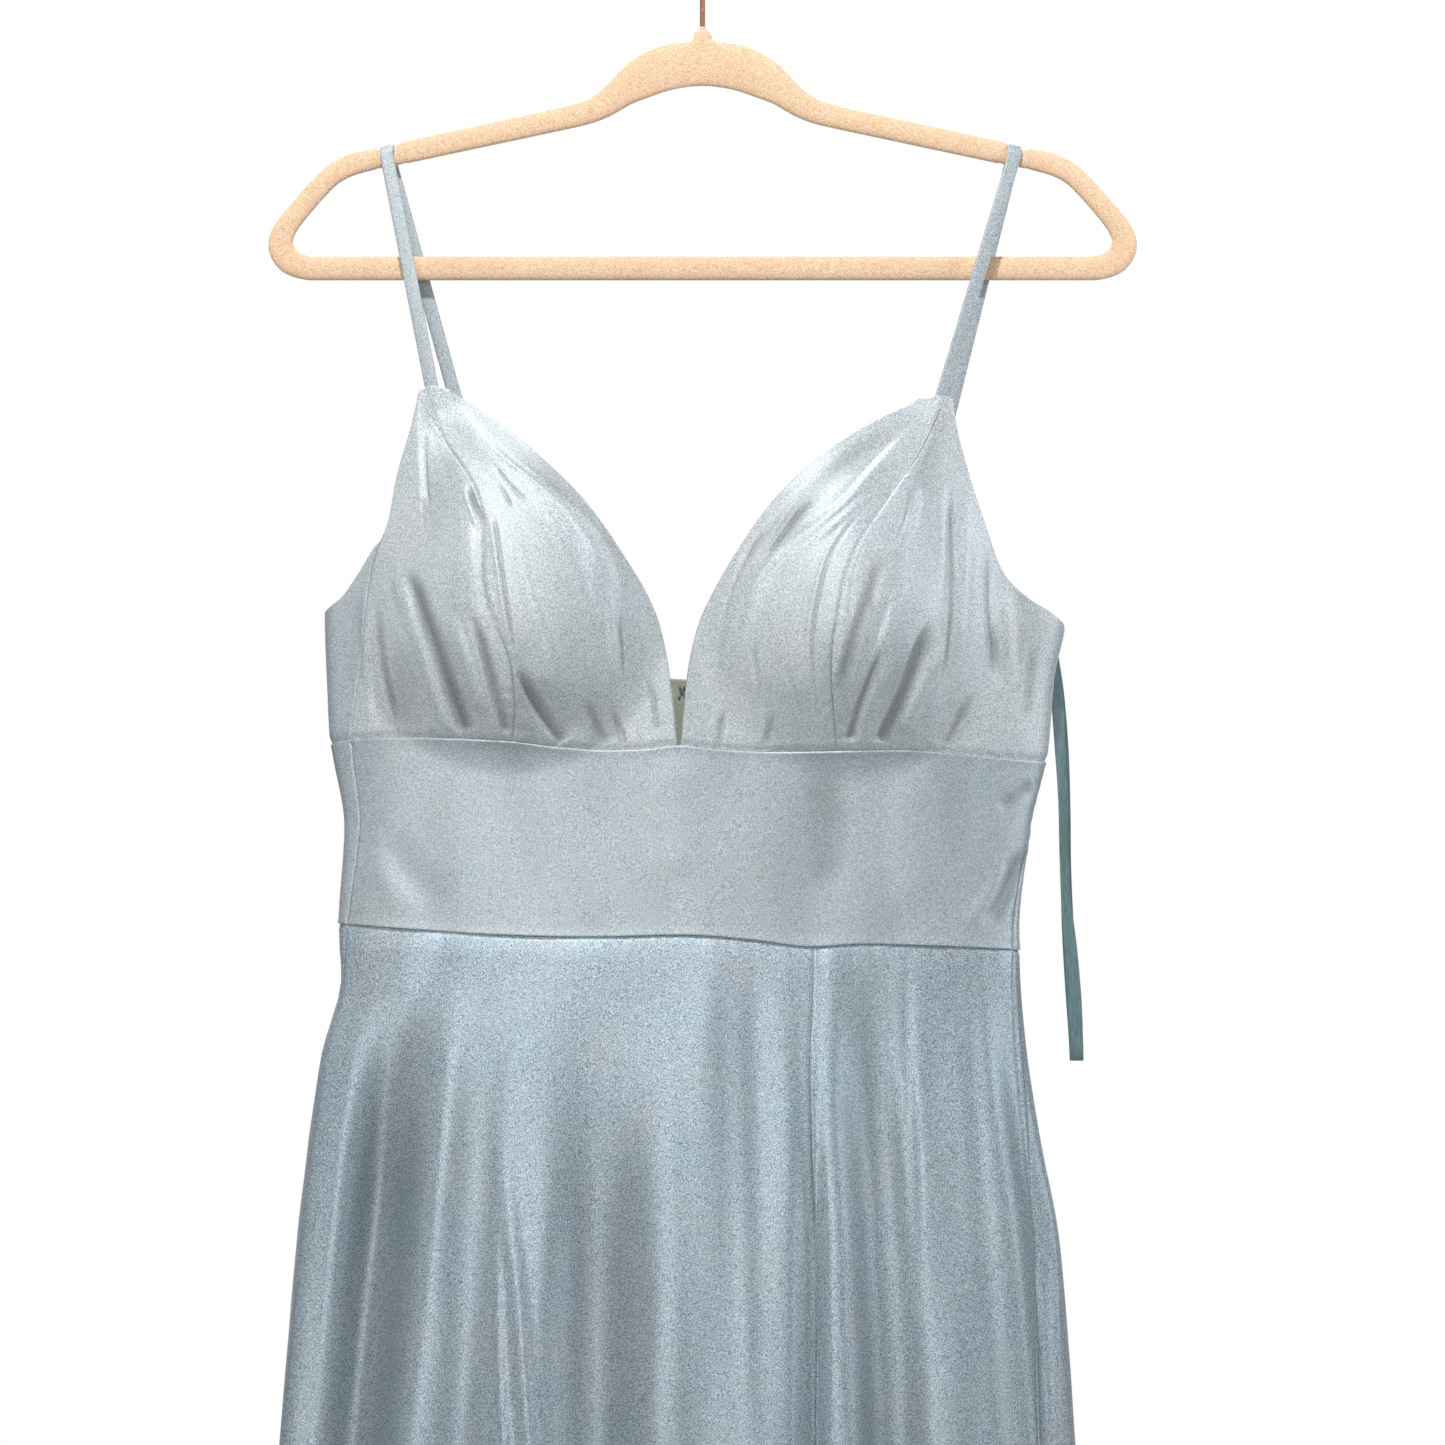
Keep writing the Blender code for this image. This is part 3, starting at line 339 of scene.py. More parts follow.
flock = flock_finish()
ribbon = ribbon_finish()
tape = tape_finish()
lacquer = worn_finish("lacquered zip metal", (0.45, 0.53, 0.56), (0.56, 0.60, 0.61), 0.32, 0.15, 1.2)
copper = worn_finish("copper wire", (0.33, 0.145, 0.10), (0.25, 0.105, 0.075), 0.36, 0.85, 1.6)
nickel = worn_finish("nickel hook and eye", (0.62, 0.62, 0.60), (0.48, 0.47, 0.45), 0.28, 0.95, 0.8)
teeth_plastic = worn_finish("coil plastic", (0.43, 0.50, 0.53), (0.36, 0.43, 0.46), 0.4, 0.0, 1.0)
thread = worn_finish("sewing thread", (0.40, 0.47, 0.50), (0.30, 0.36, 0.39), 0.6, 0.0, 0.3)
pale_floor.data.materials.append(
    worn_finish("pale floor paint", (0.80, 0.80, 0.79), (0.74, 0.74, 0.73), 0.7, 0.0, 9.0))
print("materials:", len(bpy.data.materials))

# %% [markdown]
# ## The gown's surface
# All the panels lie on one surface, a flattened tube with two swells for the cups and upright flutes in
# the skirt. The tables repeat the sizes of the CAD part, so the fine cloth lies exactly where the solid
# walls are. Numpy works the surface out for whole grids of points at once, which keeps this quick.

# %% Tables of the tube, the cups and the flutes
Section = namedtuple("Section", "drop left right front back")
SECTIONS = [
    Section(270, -191, 187, 27, 13),
    Section(340, -192, 187, 30, 14),
    Section(400, -193, 186, 32, 15),
    Section(432, -192, 180, 31, 17),
    Section(466, -190, 177, 29, 18),
    Section(508, -183, 168, 27, 19),
    Section(558, -186, 162, 26, 20),
    Section(584, -184.5, 162.5, 27, 21),
    Section(622, -194, 165.5, 29, 23),
    Section(674, -202, 172.6, 32, 27),
    Section(724, -208, 180.2, 35, 31),
    Section(823, -216, 186.4, 40, 37),
    Section(1100, -238, 203, 46, 44),
    Section(1400, -262, 224, 48, 47),
    Section(1660, -280, 241, 49, 48),
]
BODICE_FOLDS_END = 584.0
HEM = 1652.0
HEM_TILT = 4.0

Cup = namedtuple("Cup", "x drop reach across above below")
CUPS = [
    Cup(x=-99, drop=398, reach=27, across=84, above=112, below=84),
    Cup(x=77, drop=400, reach=27, across=84, above=112, below=84),
]

Crease = namedtuple("Crease", "x1 drop1 x2 drop2 half_width reach")
CREASES = [
    Crease(-150, 388, -122, 462, 11, -3.2),
    Crease(-88, 440, -62, 462, 13, -3.0),
    Crease(-112, 345, -98, 436, 7, -1.8),
    Crease(119, 408, 84, 462, 10, -3.0),
    Crease(92, 392, 72, 462, 9, -2.6),
    Crease(128, 336, 121, 440, 8, -2.4),
    Crease(147, 362, 150, 430, 8, -2.2),
    Crease(-58, 350, -42, 432, 9, 2.0),
    Crease(36, 352, 14, 430, 9, 2.0),
]

Flute = namedtuple("Flute", "angle_top angle_hem half_width reach starts")
FLUTES = [
    Flute(-76, -74, 12, 20, 600),
    Flute(-41, -55, 13, 25, 590),
    Flute(-24, -32, 11, 23, 680),
    Flute(-3, -9, 12, 26, 600),
    Flute(13, 11, 8, 21, 640),
    Flute(26, 30, 9, 24, 590),
    Flute(46, 50, 11, 22, 640),
    Flute(84, 80, 15, 20, 560),
    Flute(122, 116, 12, 24, 620),
    Flute(141, 139, 11, 25, 700),
    Flute(160, 159, 9, 22, 780),
    Flute(-160, -159, 10, 24, 780),
    Flute(-140, -139, 10, 25, 660),
    Flute(-119, -117, 13, 23, 600),
]
FLUTE_GROWTH = 0.9
print("sections:", len(SECTIONS), "flutes:", len(FLUTES))

# %% [markdown]
# A few measured sections are enough if a smooth curve joins them. A plain spline would swing past its
# points and give the waist a bulge, so this one takes slopes that never overshoot.

# %% Work out smooth curves through a few points
def ease(t):
    """0 to 1 with level ends."""
    t = np.clip(t, 0.0, 1.0)
    return t * t * (3 - 2 * t)


def mix(a, b, share):
    return a + (b - a) * share


def hump(off):
    """1 in the middle and 0 from a distance of 1 on, level at both."""
    return 0.5 * (1 + np.cos(math.pi * np.clip(off, 0, 1)))


def smooth_curve(points):
    """A curve through (at, value) points that never overshoots them and is level past its ends."""
    at = np.array([p[0] for p in points], float)
    value = np.array([p[1] for p in points], float)
    step = np.diff(at)
    rise = np.diff(value) / step
    slope = np.zeros(len(at))
    slope[0], slope[-1] = rise[0], rise[-1]
    for i in range(1, len(at) - 1):
        if rise[i - 1] * rise[i] > 0:
            w1, w2 = 2 * step[i] + step[i - 1], step[i] + 2 * step[i - 1]
            slope[i] = (w1 + w2) / (w1 / rise[i - 1] + w2 / rise[i])

    def curve(x):
        x = np.clip(np.asarray(x, float), at[0], at[-1])
        i = np.clip(np.searchsorted(at, x, side="right") - 1, 0, len(step) - 1)
        h, t = step[i], (x - at[i]) / step[i]
        return (
            (1 + 2 * t) * (1 - t) ** 2 * value[i]
            + t * (1 - t) ** 2 * h * slope[i]
            + t * t * (3 - 2 * t) * value[i + 1]
            + t * t * (t - 1) * h * slope[i + 1]
        )

    return curve


LEFT, RIGHT, FRONT, BACK = (
    smooth_curve([(row.drop, getattr(row, side)) for row in SECTIONS])
    for side in ("left", "right", "front", "back")
)
print(f"the tube is {float(RIGHT(500) - LEFT(500)):.0f} mm wide at the waist")

# %% [markdown]
# A point of the gown is an angle and a drop. The tube gives its place, and the cups, creases and flutes
# push it outwards, along the level direction that points out of the tube.

# %% Work out points of the surface
def unit(v):
    return v / np.linalg.norm(v, axis=-1, keepdims=True)


def tube(angle, drop):
    """Points of the plain tube."""
    a = np.radians(angle)
    depth = np.where(np.cos(a) > 0, FRONT(drop), BACK(drop))
    x = (LEFT(drop) + RIGHT(drop)) / 2 + (RIGHT(drop) - LEFT(drop)) / 2 * np.sin(a)
    return np.stack([x, -depth * np.cos(a), -drop + 0 * a], -1)


def tube_out(angle, drop):
    """The level direction that points out of the tube."""
    along = tube(angle + 0.2, drop) - tube(angle - 0.2, drop)
    out = np.stack([along[..., 1], -along[..., 0], 0 * along[..., 2]], -1)
    return unit(out)


def angle_of(x, drop):
    """The angle of the front of the tube at an x. At its back, the same x is at 180 minus this."""
    share = (x - (LEFT(drop) + RIGHT(drop)) / 2) / ((RIGHT(drop) - LEFT(drop)) / 2)
    return np.degrees(np.arcsin(np.clip(share, -1, 1)))


def cup_relief(x, drop):
    total = 0 * x
    for cup in CUPS:
        up = np.where(drop < cup.drop, cup.above, cup.below)
        r2 = ((x - cup.x) / cup.across) ** 2 + ((drop - cup.drop) / up) ** 2
        total = np.maximum(total, cup.reach * np.clip(1 - r2, 0, 1) ** 1.6)
    return total


CREASE_SHARE = 0.45
CREASE_END = 0.35


def crease_relief(x, drop):
    """The solid's broad creases, lowered, because the finer folds below take part of their depth."""
    total = 0 * x
    for c in CREASES:
        dx, dd = c.x2 - c.x1, c.drop2 - c.drop1
        along = ((x - c.x1) * dx + (drop - c.drop1) * dd) / (dx * dx + dd * dd)
        off = np.abs((x - c.x1) * dd - (drop - c.drop1) * dx) / math.hypot(dx, dd)
        ends = ease((along + 0.1) / CREASE_END) * ease((1.1 - along) / CREASE_END)
        total += CREASE_SHARE * c.reach * ends * hump(off / c.half_width)
    return total


def flute_relief(angle, drop):
    total = 0 * angle
    for f in FLUTES:
        share = np.clip((drop - f.starts) / (HEM - f.starts), 0, None)
        middle = mix(f.angle_top, f.angle_hem, share)
        off = np.abs((angle - middle + 180) % 360 - 180)
        total += f.reach * share**FLUTE_GROWTH * hump(off / f.half_width)
    return total


def surface(angle, drop):
    """Points of the gown's outer surface, as the CAD walls have it."""
    angle, drop = np.broadcast_arrays(np.asarray(angle, float), np.asarray(drop, float))
    point = tube(angle, drop)
    relief = flute_relief(angle, drop)
    front = (np.cos(np.radians(angle)) > 0) & (drop < BODICE_FOLDS_END)
    x = point[..., 0]
    relief = relief + np.where(front, cup_relief(x, drop) + crease_relief(x, drop), 0)
    return point + tube_out(angle, drop) * relief[..., None]


def mm_per_degree(angle, drop):
    return np.linalg.norm(surface(angle + 0.5, drop) - surface(angle - 0.5, drop), axis=-1)


def outward(angle, drop):
    """The surface's normals."""
    along = surface(angle + 0.3, drop) - surface(angle - 0.3, drop)
    down = surface(angle, drop + 0.5) - surface(angle, drop - 0.5)
    out = np.cross(down, along)
    return unit(out)


print("a cup's top stands at y =", round(float(surface(angle_of(-99, 398), 398)[1]), 1), "mm")

# %% [markdown]
# ## The cut
# A dressmaker cuts panels: two for each cup, two for the back above the band, three for the band and four
# for the skirt. Their edges are curves of x, or of the angle round the tube, against drop.

# %% Tables of the panels' edges
RIGHT_ARMHOLE = [(283, -144), (303, -148.5), (328, -155.5), (354, -160), (362, -163.5)]
RIGHT_SIDE_SEAM = [(362, -163.5), (376, -168), (405, -171.5), (433, -175.5), (466, -180)]
RIGHT_CUP_SEAM = [
    (283, -141), (308, -132.5), (327, -119), (339, -112.5), (352, -109.5), (386, -107),
    (405, -102), (433, -94.5), (447, -94), (466, -96.5),
]
RIGHT_NECKLINE = [
    (283, -133.5), (290, -122), (303, -102.5), (316, -85.5), (341, -59.5), (367, -41),
    (392, -26.5), (405, -21.5), (431, -16.5), (466, -12.9),
]
LEFT_NECKLINE = [
    (288, 117), (290, 112), (303, 84), (316, 63.5), (341, 36), (367, 17.5), (392, 3.3),
    (405, -2.3), (431, -7.9), (466, -11.1),
]
LEFT_CUP_SEAM = [
    (288, 124), (299, 119.3), (314, 112), (340, 93.8), (364, 77.4), (383, 69.8), (397, 67.2),
    (422, 64), (437, 64.6), (470, 68),
]
LEFT_ARMHOLE = [(288, 127.5), (303, 129.5), (328, 136), (354, 144), (367, 148.5), (379, 154),
                (392, 167.5), (398, 177.5), (404, 185)]
LEFT_SIDE_ANGLE = [(404, 85), (412, 97), (475, 94), (568, 79), (700, 72), (823, 66), (1660, 63)]
RIGHT_SIDE_ANGLE = [(466, -70), (558, -77), (600, -88), (680, -93), (1660, -95)]
SLIT_SEAM_ANGLE = [(568, 23), (823, 21), (1660, 19)]
BUST_SEAM_FRONT = [
    (-190, 466), (-180, 463.5), (-150, 462.7), (-104, 464), (-73, 467.5), (-50, 469), (-30, 468.5),
    (-12, 466.5), (8, 468.5), (40, 470), (100, 469), (127, 470.5), (152, 473), (177, 475),
]
WAIST_SEAM_FRONT = [
    (-186, 557.5), (-155, 559.8), (-104, 563), (-60, 564), (-10, 563), (25, 565.5), (56, 569),
    (80, 567.7), (126, 569), (162, 571),
]
BACK_TOP_EDGE = [
    (-182.4, 433), (-178, 432.5), (-153, 411), (-120, 402), (-90, 398.5), (-74, 392), (-65.5, 379.5),
    (-60.5, 367.5), (-57.9, 362),
]
BACK_TOP_EDGE_LEFT = [(97, 407.5), (120, 409), (147, 413), (172, 432.5), (177.6, 433)]
RIGHT_APEX = 283.0
LEFT_APEX = 288.0
BACK_MIDDLE_X = 4.0

# %% [markdown]
# An upright edge becomes a function that gives its angle at a drop, and a level one gives its drop at an
# angle. Neighbouring panels share these functions, so their edges meet.

# %% Turn the tables into edges
def front_edge(points):
    """An outline of the front, given as x at each drop, as an angle at each drop."""
    curve = smooth_curve(points)
    return lambda drop: angle_of(curve(drop), drop)


def level_seam(front_points):
    """A seam round the tube, as the drop at each angle. Its back runs straight from side to side."""
    front = smooth_curve(front_points)
    first, last = front_points[0], front_points[-1]

    def at(angle):
        x = tube(np.asarray(angle, float), np.full(np.shape(angle), float(first[1])))[..., 0]
        back = mix(first[1], last[1], np.clip((x - first[0]) / (last[0] - first[0]), 0, 1))
        return np.where(np.cos(np.radians(angle)) > 0, front(x), back)

    return at


def back_middle(drop):
    return 180 - angle_of(BACK_MIDDLE_X, drop)


def back_middle_from_right(drop):
    return back_middle(drop) - 360


right_armhole, right_bodice_side = front_edge(RIGHT_ARMHOLE), front_edge(RIGHT_SIDE_SEAM)
right_lower_side = smooth_curve(RIGHT_SIDE_ANGLE)
left_armhole, left_side = front_edge(LEFT_ARMHOLE), smooth_curve(LEFT_SIDE_ANGLE)


def right_side(drop):
    """The wearer's right side seam, or the armhole above it."""
    drop = np.asarray(drop, float)
    bodice = np.where(drop < RIGHT_SIDE_SEAM[0][0], right_armhole(drop), right_bodice_side(drop))
    return np.where(drop < RIGHT_SIDE_SEAM[-1][0], bodice, right_lower_side(drop))


def left_cup_edge(drop):
    """The wearer's left armhole, then the side seam."""
    drop = np.asarray(drop, float)
    armhole = np.minimum(left_armhole(drop), left_side(drop))
    return np.where(drop < LEFT_ARMHOLE[-1][0], armhole, left_side(drop))


right_cup_seam, left_cup_seam = front_edge(RIGHT_CUP_SEAM), front_edge(LEFT_CUP_SEAM)
right_neckline, left_neckline = front_edge(RIGHT_NECKLINE), front_edge(LEFT_NECKLINE)
slit_seam = smooth_curve(SLIT_SEAM_ANGLE)
bust_seam, waist_seam = level_seam(BUST_SEAM_FRONT), level_seam(WAIST_SEAM_FRONT)
back_top_right, back_top_left = smooth_curve(BACK_TOP_EDGE), smooth_curve(BACK_TOP_EDGE_LEFT)


APEX_HALF_WIDTH, APEX_FALL = 5.4, 1.8


def rounded_apex(middle_x, apex):
    """The short top edge of a cup under its strap, lower at both ends."""

    def at(angle):
        off = np.abs(tube(angle, apex + 0 * angle)[..., 0] - middle_x) / APEX_HALF_WIDTH
        return apex + APEX_FALL * np.clip(off, 0, 1) ** 3

    return at


right_apex, left_apex = rounded_apex(-137.3, RIGHT_APEX), rounded_apex(121.0, LEFT_APEX)


def hem(angle):
    return HEM + HEM_TILT * np.sin(np.radians(angle))


print(f"the waist seam is {float(waist_seam(np.array(0.0))):.0f} mm below the rod in front")

# %% [markdown]
# ## Creases and gathers
# Satin shows every pull in the cloth. Each fold is a row in a table: how far it stands out, or in if it is
# negative, how wide it is on its west and east sides, and the points it runs through. West is towards -X
# for a fold that runs down. Sharp folds have a crest like a pinched crease. The rows were placed
# over the photograph for the front; the back, which it doesn't show, has calmer folds of the same kind.

# %% Tables of the front bodice's folds
Fold = namedtuple("Fold", "reach west east points start end sharp", defaults=(0.25, 0.25, False))
RIGHT_CUP_FOLDS = [
    Fold(-0.6, 9, 9, [(-116, 300), (-103, 310), (-89, 321), (-75, 332), (-62, 345), (-50, 360),
                      (-40, 378), (-33, 400)], 0.3, 0.4),
    Fold(0.97, 13, 5, [(-130, 290), (-121, 300), (-108, 314), (-96, 324), (-86, 331), (-73, 342),
                      (-61, 354), (-53, 366), (-47, 380), (-43, 394), (-41, 404)], 0.2, 0.3),
    Fold(0.57, 2.2, 1.4, [(-112, 311), (-99, 322), (-86, 332), (-73, 343), (-62, 356), (-54, 369),
                         (-49, 382)], 0.25, 0.35, True),
    Fold(-0.49, 2, 1.6, [(-108, 311), (-95, 322), (-83, 331), (-70, 341), (-59, 353)], 0.25, 0.35, True),
    Fold(-0.64, 2, 1.6, [(-108, 322), (-97, 335), (-85, 346)], 0.3, 0.4, True),
    Fold(-0.49, 1.8, 1.4, [(-105, 332), (-99, 341), (-96, 349)], 0.3, 0.4, True),
    Fold(-1.56, 3, 1.6, [(-119, 333), (-115, 344), (-110, 354)], 0.3, 0.3, True),
    Fold(0.69, 2.5, 2, [(-122, 334), (-118, 346), (-113, 358)], 0.3, 0.3),
    Fold(0.34, 2, 1.2, [(-109, 348), (-107, 356), (-104, 376), (-101, 396), (-98, 412), (-96, 424)],
         0.15, 0.25),
    Fold(-0.85, 1.2, 1.8, [(-107, 348), (-105, 356), (-102, 376), (-99, 396), (-96, 412), (-94, 424)],
         0.15, 0.25, True),
    Fold(-1.39, 1.8, 1.2, [(-42, 397), (-41, 408), (-40, 420), (-40, 436)], 0.35, 0.35, True),
    Fold(0.77, 4, 2.5, [(-48, 384), (-46, 402), (-45, 420), (-45, 440)], 0.3, 0.35),
    Fold(-0.71, 2.2, 1.6, [(-141, 304), (-141, 320), (-140, 336), (-138, 353)], 0.35, 0.4, True),
    Fold(0.48, 3, 3, [(-144, 298), (-145, 318), (-144, 340), (-142, 360)], 0.3, 0.4),
    Fold(-0.36, 1.6, 1.6, [(-143, 338), (-142, 350), (-141, 360)], 0.4, 0.4, True),
    Fold(-1.98, 4, 9, [(-151, 374), (-149, 380), (-144, 397), (-136, 417), (-130, 437), (-121, 462)],
         0.2, 0.05, True),
    Fold(1.25, 6, 4, [(-156, 370), (-154, 384), (-149, 402), (-142, 420), (-136, 440), (-128, 462)],
         0.25, 0.1),
    Fold(-1.39, 3.5, 6, [(-121, 396), (-117, 402), (-111, 420), (-106, 440), (-100, 461)],
         0.3, 0.05, True),
    Fold(0.86, 5, 5, [(-128, 398), (-124, 412), (-118, 430), (-111, 452)], 0.3, 0.15),
    Fold(-0.96, 3, 4, [(-166, 388), (-165, 410), (-162, 432), (-156, 458)], 0.4, 0.2),
    Fold(0.86, 4, 4, [(-172, 380), (-172, 404), (-171, 430), (-170, 458)], 0.3, 0.2),
    Fold(-1.89, 2.5, 9, [(-94, 426), (-90, 438), (-82, 452), (-72, 466)], 0.3, 0.02, True),
    Fold(0.86, 14, 26, [(-92, 428), (-66, 432), (-40, 428)], 0.3, 0.35),
    Fold(-0.86, 3, 4, [(-62, 442), (-56, 452), (-50, 466)], 0.4, 0.02),
    Fold(-0.77, 2.5, 3, [(-47, 446), (-43, 456), (-40, 466)], 0.4, 0.02),
    Fold(-0.58, 2, 2.5, [(-27, 430), (-25, 444), (-23, 460)], 0.4, 0.1),
]
LEFT_CUP_FOLDS = [
    Fold(0.92, 4, 6, [(113, 301), (97, 316), (82, 332), (71, 345), (56, 356), (40, 367), (27, 382),
                     (18, 397), (14, 412)], 0.2, 0.35),
    Fold(-0.7, 8, 8, [(108, 297), (88, 312), (68, 328), (50, 345), (34, 361), (20, 379), (11, 394)],
         0.3, 0.4),
    Fold(0.52, 2, 3, [(86, 338), (71, 351), (58, 362), (50, 372)], 0.3, 0.4),
    Fold(-0.4, 1.5, 1.5, [(86, 334), (71, 347), (58, 358)], 0.3, 0.4, True),
    Fold(-0.93, 1.8, 2.4, [(55, 340), (45, 353), (36, 366), (29, 378)], 0.3, 0.4, True),
    Fold(0.4, 3, 2, [(49, 340), (40, 352), (31, 365)], 0.3, 0.4),
    Fold(0.57, 4, 5, [(38, 352), (29, 366), (20, 386), (15, 402), (12, 418), (12, 434)], 0.25, 0.35),
    Fold(-0.34, 2.5, 2, [(34, 352), (25, 366), (16, 386), (11, 402), (8, 418)], 0.3, 0.35),
    Fold(0.29, 1.6, 1.6, [(80, 346), (71, 356), (62, 371), (57, 388), (53.5, 410), (54.5, 432),
                         (56, 449)], 0.15, 0.2),
    Fold(-0.53, 1.2, 1.8, [(82, 347), (73, 357), (64, 372), (59, 389), (55.5, 410), (56.5, 432),
                          (58, 449)], 0.15, 0.2, True),
    Fold(-0.57, 3, 2.4, [(106, 334), (103, 350), (96, 368)], 0.35, 0.4),
    Fold(0.46, 3, 3, [(111, 330), (109, 348), (102, 368)], 0.35, 0.4),
    Fold(-1.2, 2.0, 1.5, [(126, 332), (127, 350), (127.5, 373), (127, 397), (125, 419), (120, 442)],
         0.25, 0.3, True),
    Fold(0.46, 3.5, 2.5, [(122, 330), (123, 350), (123, 373), (122, 397)], 0.3, 0.35),
    Fold(0.57, 3, 6, [(133, 338), (134, 370), (133, 402), (129, 434)], 0.3, 0.3),
    Fold(-0.8, 1.8, 1.8, [(147, 362), (146, 380), (146, 398), (148, 414), (150, 436)],
         0.3, 0.35, True),
    Fold(-0.72, 5, 4, [(148, 398), (149, 416), (151, 436)], 0.4, 0.4),
    Fold(0.72, 4, 5, [(156, 386), (156, 410), (158, 440)], 0.35, 0.35),
    Fold(-0.64, 4, 4, [(168, 410), (167, 430), (164, 456)], 0.4, 0.3),
    Fold(-1.2, 5, 6, [(92, 366), (84, 392), (77, 412), (71, 432), (67, 448)], 0.3, 0.3),
    Fold(0.72, 4, 5, [(104, 372), (98, 394), (90, 418), (83, 442)], 0.35, 0.35),
    Fold(-1.58, 3, 6, [(94, 410), (86, 429), (79, 447), (74, 464)], 0.3, 0.05, True),
    Fold(-1.86, 3.5, 8, [(116, 400), (109, 418), (100, 441), (89, 464)], 0.3, 0.03, True),
    Fold(1.12, 5, 4, [(121, 414), (113, 436), (103, 460)], 0.3, 0.1),
    Fold(-0.8, 3, 4, [(138, 438), (131, 452), (124, 466)], 0.4, 0.05),
    Fold(-0.74, 1.8, 1.8, [(26, 412), (27, 428), (30, 444)], 0.35, 0.4, True),
    Fold(-0.74, 1.8, 1.8, [(43, 424), (46, 438), (50, 450)], 0.35, 0.4, True),
    Fold(-0.64, 3, 3, [(36, 448), (34, 458), (32, 467)], 0.4, 0.02),
    Fold(-0.64, 3, 3, [(12, 446), (10, 456), (9, 467)], 0.4, 0.02),
    Fold(0.56, 14, 26, [(16, 430), (40, 434), (60, 434)], 0.35, 0.3),
]
print("folds of the cups:", len(RIGHT_CUP_FOLDS), "and", len(LEFT_CUP_FOLDS))

# %% [markdown]
# The skirt's folds are long and few where the photograph shows them: two broad hollows and a narrow
# bright ridge on the left, and a calmer hollow to the right of the long seam. Further down and behind,
# where it shows nothing, a loop with a fixed seed adds shallow folds that wander a little.

# %% Tables of the band's, the skirt's and the back's folds
BAND_FOLDS = [
    Fold(0.8, 22, 22, [(-13, 468), (-14, 500), (-13, 540)]),
    Fold(-0.5, 14, 14, [(-128, 548), (-150, 530), (-162, 505)]),
    Fold(0.45, 12, 12, [(-140, 554), (-158, 540), (-170, 520)]),
    Fold(-0.8, 16, 16, [(60, 474), (66, 500), (64, 545)]),
    Fold(0.8, 18, 18, [(104, 476), (108, 510), (106, 556)]),
    Fold(-1.44, 6, 8, [(146, 560), (156, 540), (164, 518)]),
    Fold(1.12, 7, 8, [(133, 562), (146, 545), (158, 524)]),
    Fold(-1.12, 6, 6, [(150, 500), (160, 492), (170, 486)]),
]
SIDE_RIDGE = Fold(
    5.5, 30, 16, [(138, 575), (145, 640), (156, 720), (164, 800), (174, 900), (184, 1080)], 0.2, 0.4)
SKIRT_FRONT_FOLDS = [
    Fold(-15, 18, 38, [(-154, 580), (-160, 620), (-167, 673), (-175, 750), (-180, 806), (-192, 930),
                       (-208, 1100)], 0.25, 0.35),
    Fold(-3.0, 16, 22, [(-112, 570), (-116, 640), (-120, 720), (-122, 800), (-128, 930), (-138, 1100)],
         0.2, 0.4),
    Fold(4.2, 12, 3.4, [(-105, 640), (-99, 690), (-93, 740), (-89, 790), (-86, 830), (-79, 930),
                        (-66, 1100)], 0.3, 0.4, True),
    Fold(2.2, 3.4, 2.6, [(-107, 690), (-104, 750), (-102, 800), (-98, 850), (-92, 940)], 0.3, 0.4),
    Fold(-13.5, 30, 44, [(-58, 575), (-55, 640), (-54, 690), (-55, 750), (-55, 806), (-49, 930),
                        (-38, 1100)], 0.4, 0.4),
    Fold(1.3, 16, 12, [(2, 560), (3, 640), (5, 720), (8, 800), (14, 940), (20, 1100)],
         0.1, 0.4),
    Fold(-1.1, 9, 9, [(26, 575), (27, 640), (29, 720), (30, 800), (34, 930)], 0.1, 0.4),
    Fold(1.2, 10, 10, [(40, 575), (42, 640), (44, 720), (45, 800), (48, 930), (53, 1100)], 0.1, 0.4),
    Fold(-9.0, 24, 24, [(86, 560), (88, 640), (91, 710), (94, 780), (97, 850), (106, 1000)],
         0.3, 0.4),
    Fold(-1.0, 5, 5, [(104, 566), (105, 620), (108, 690), (110, 760)], 0.2, 0.5),
    SIDE_RIDGE,
    Fold(-1.0, 8, 8, [(134, 566), (138, 640), (143, 720), (147, 800), (153, 900)], 0.1, 0.4),
]
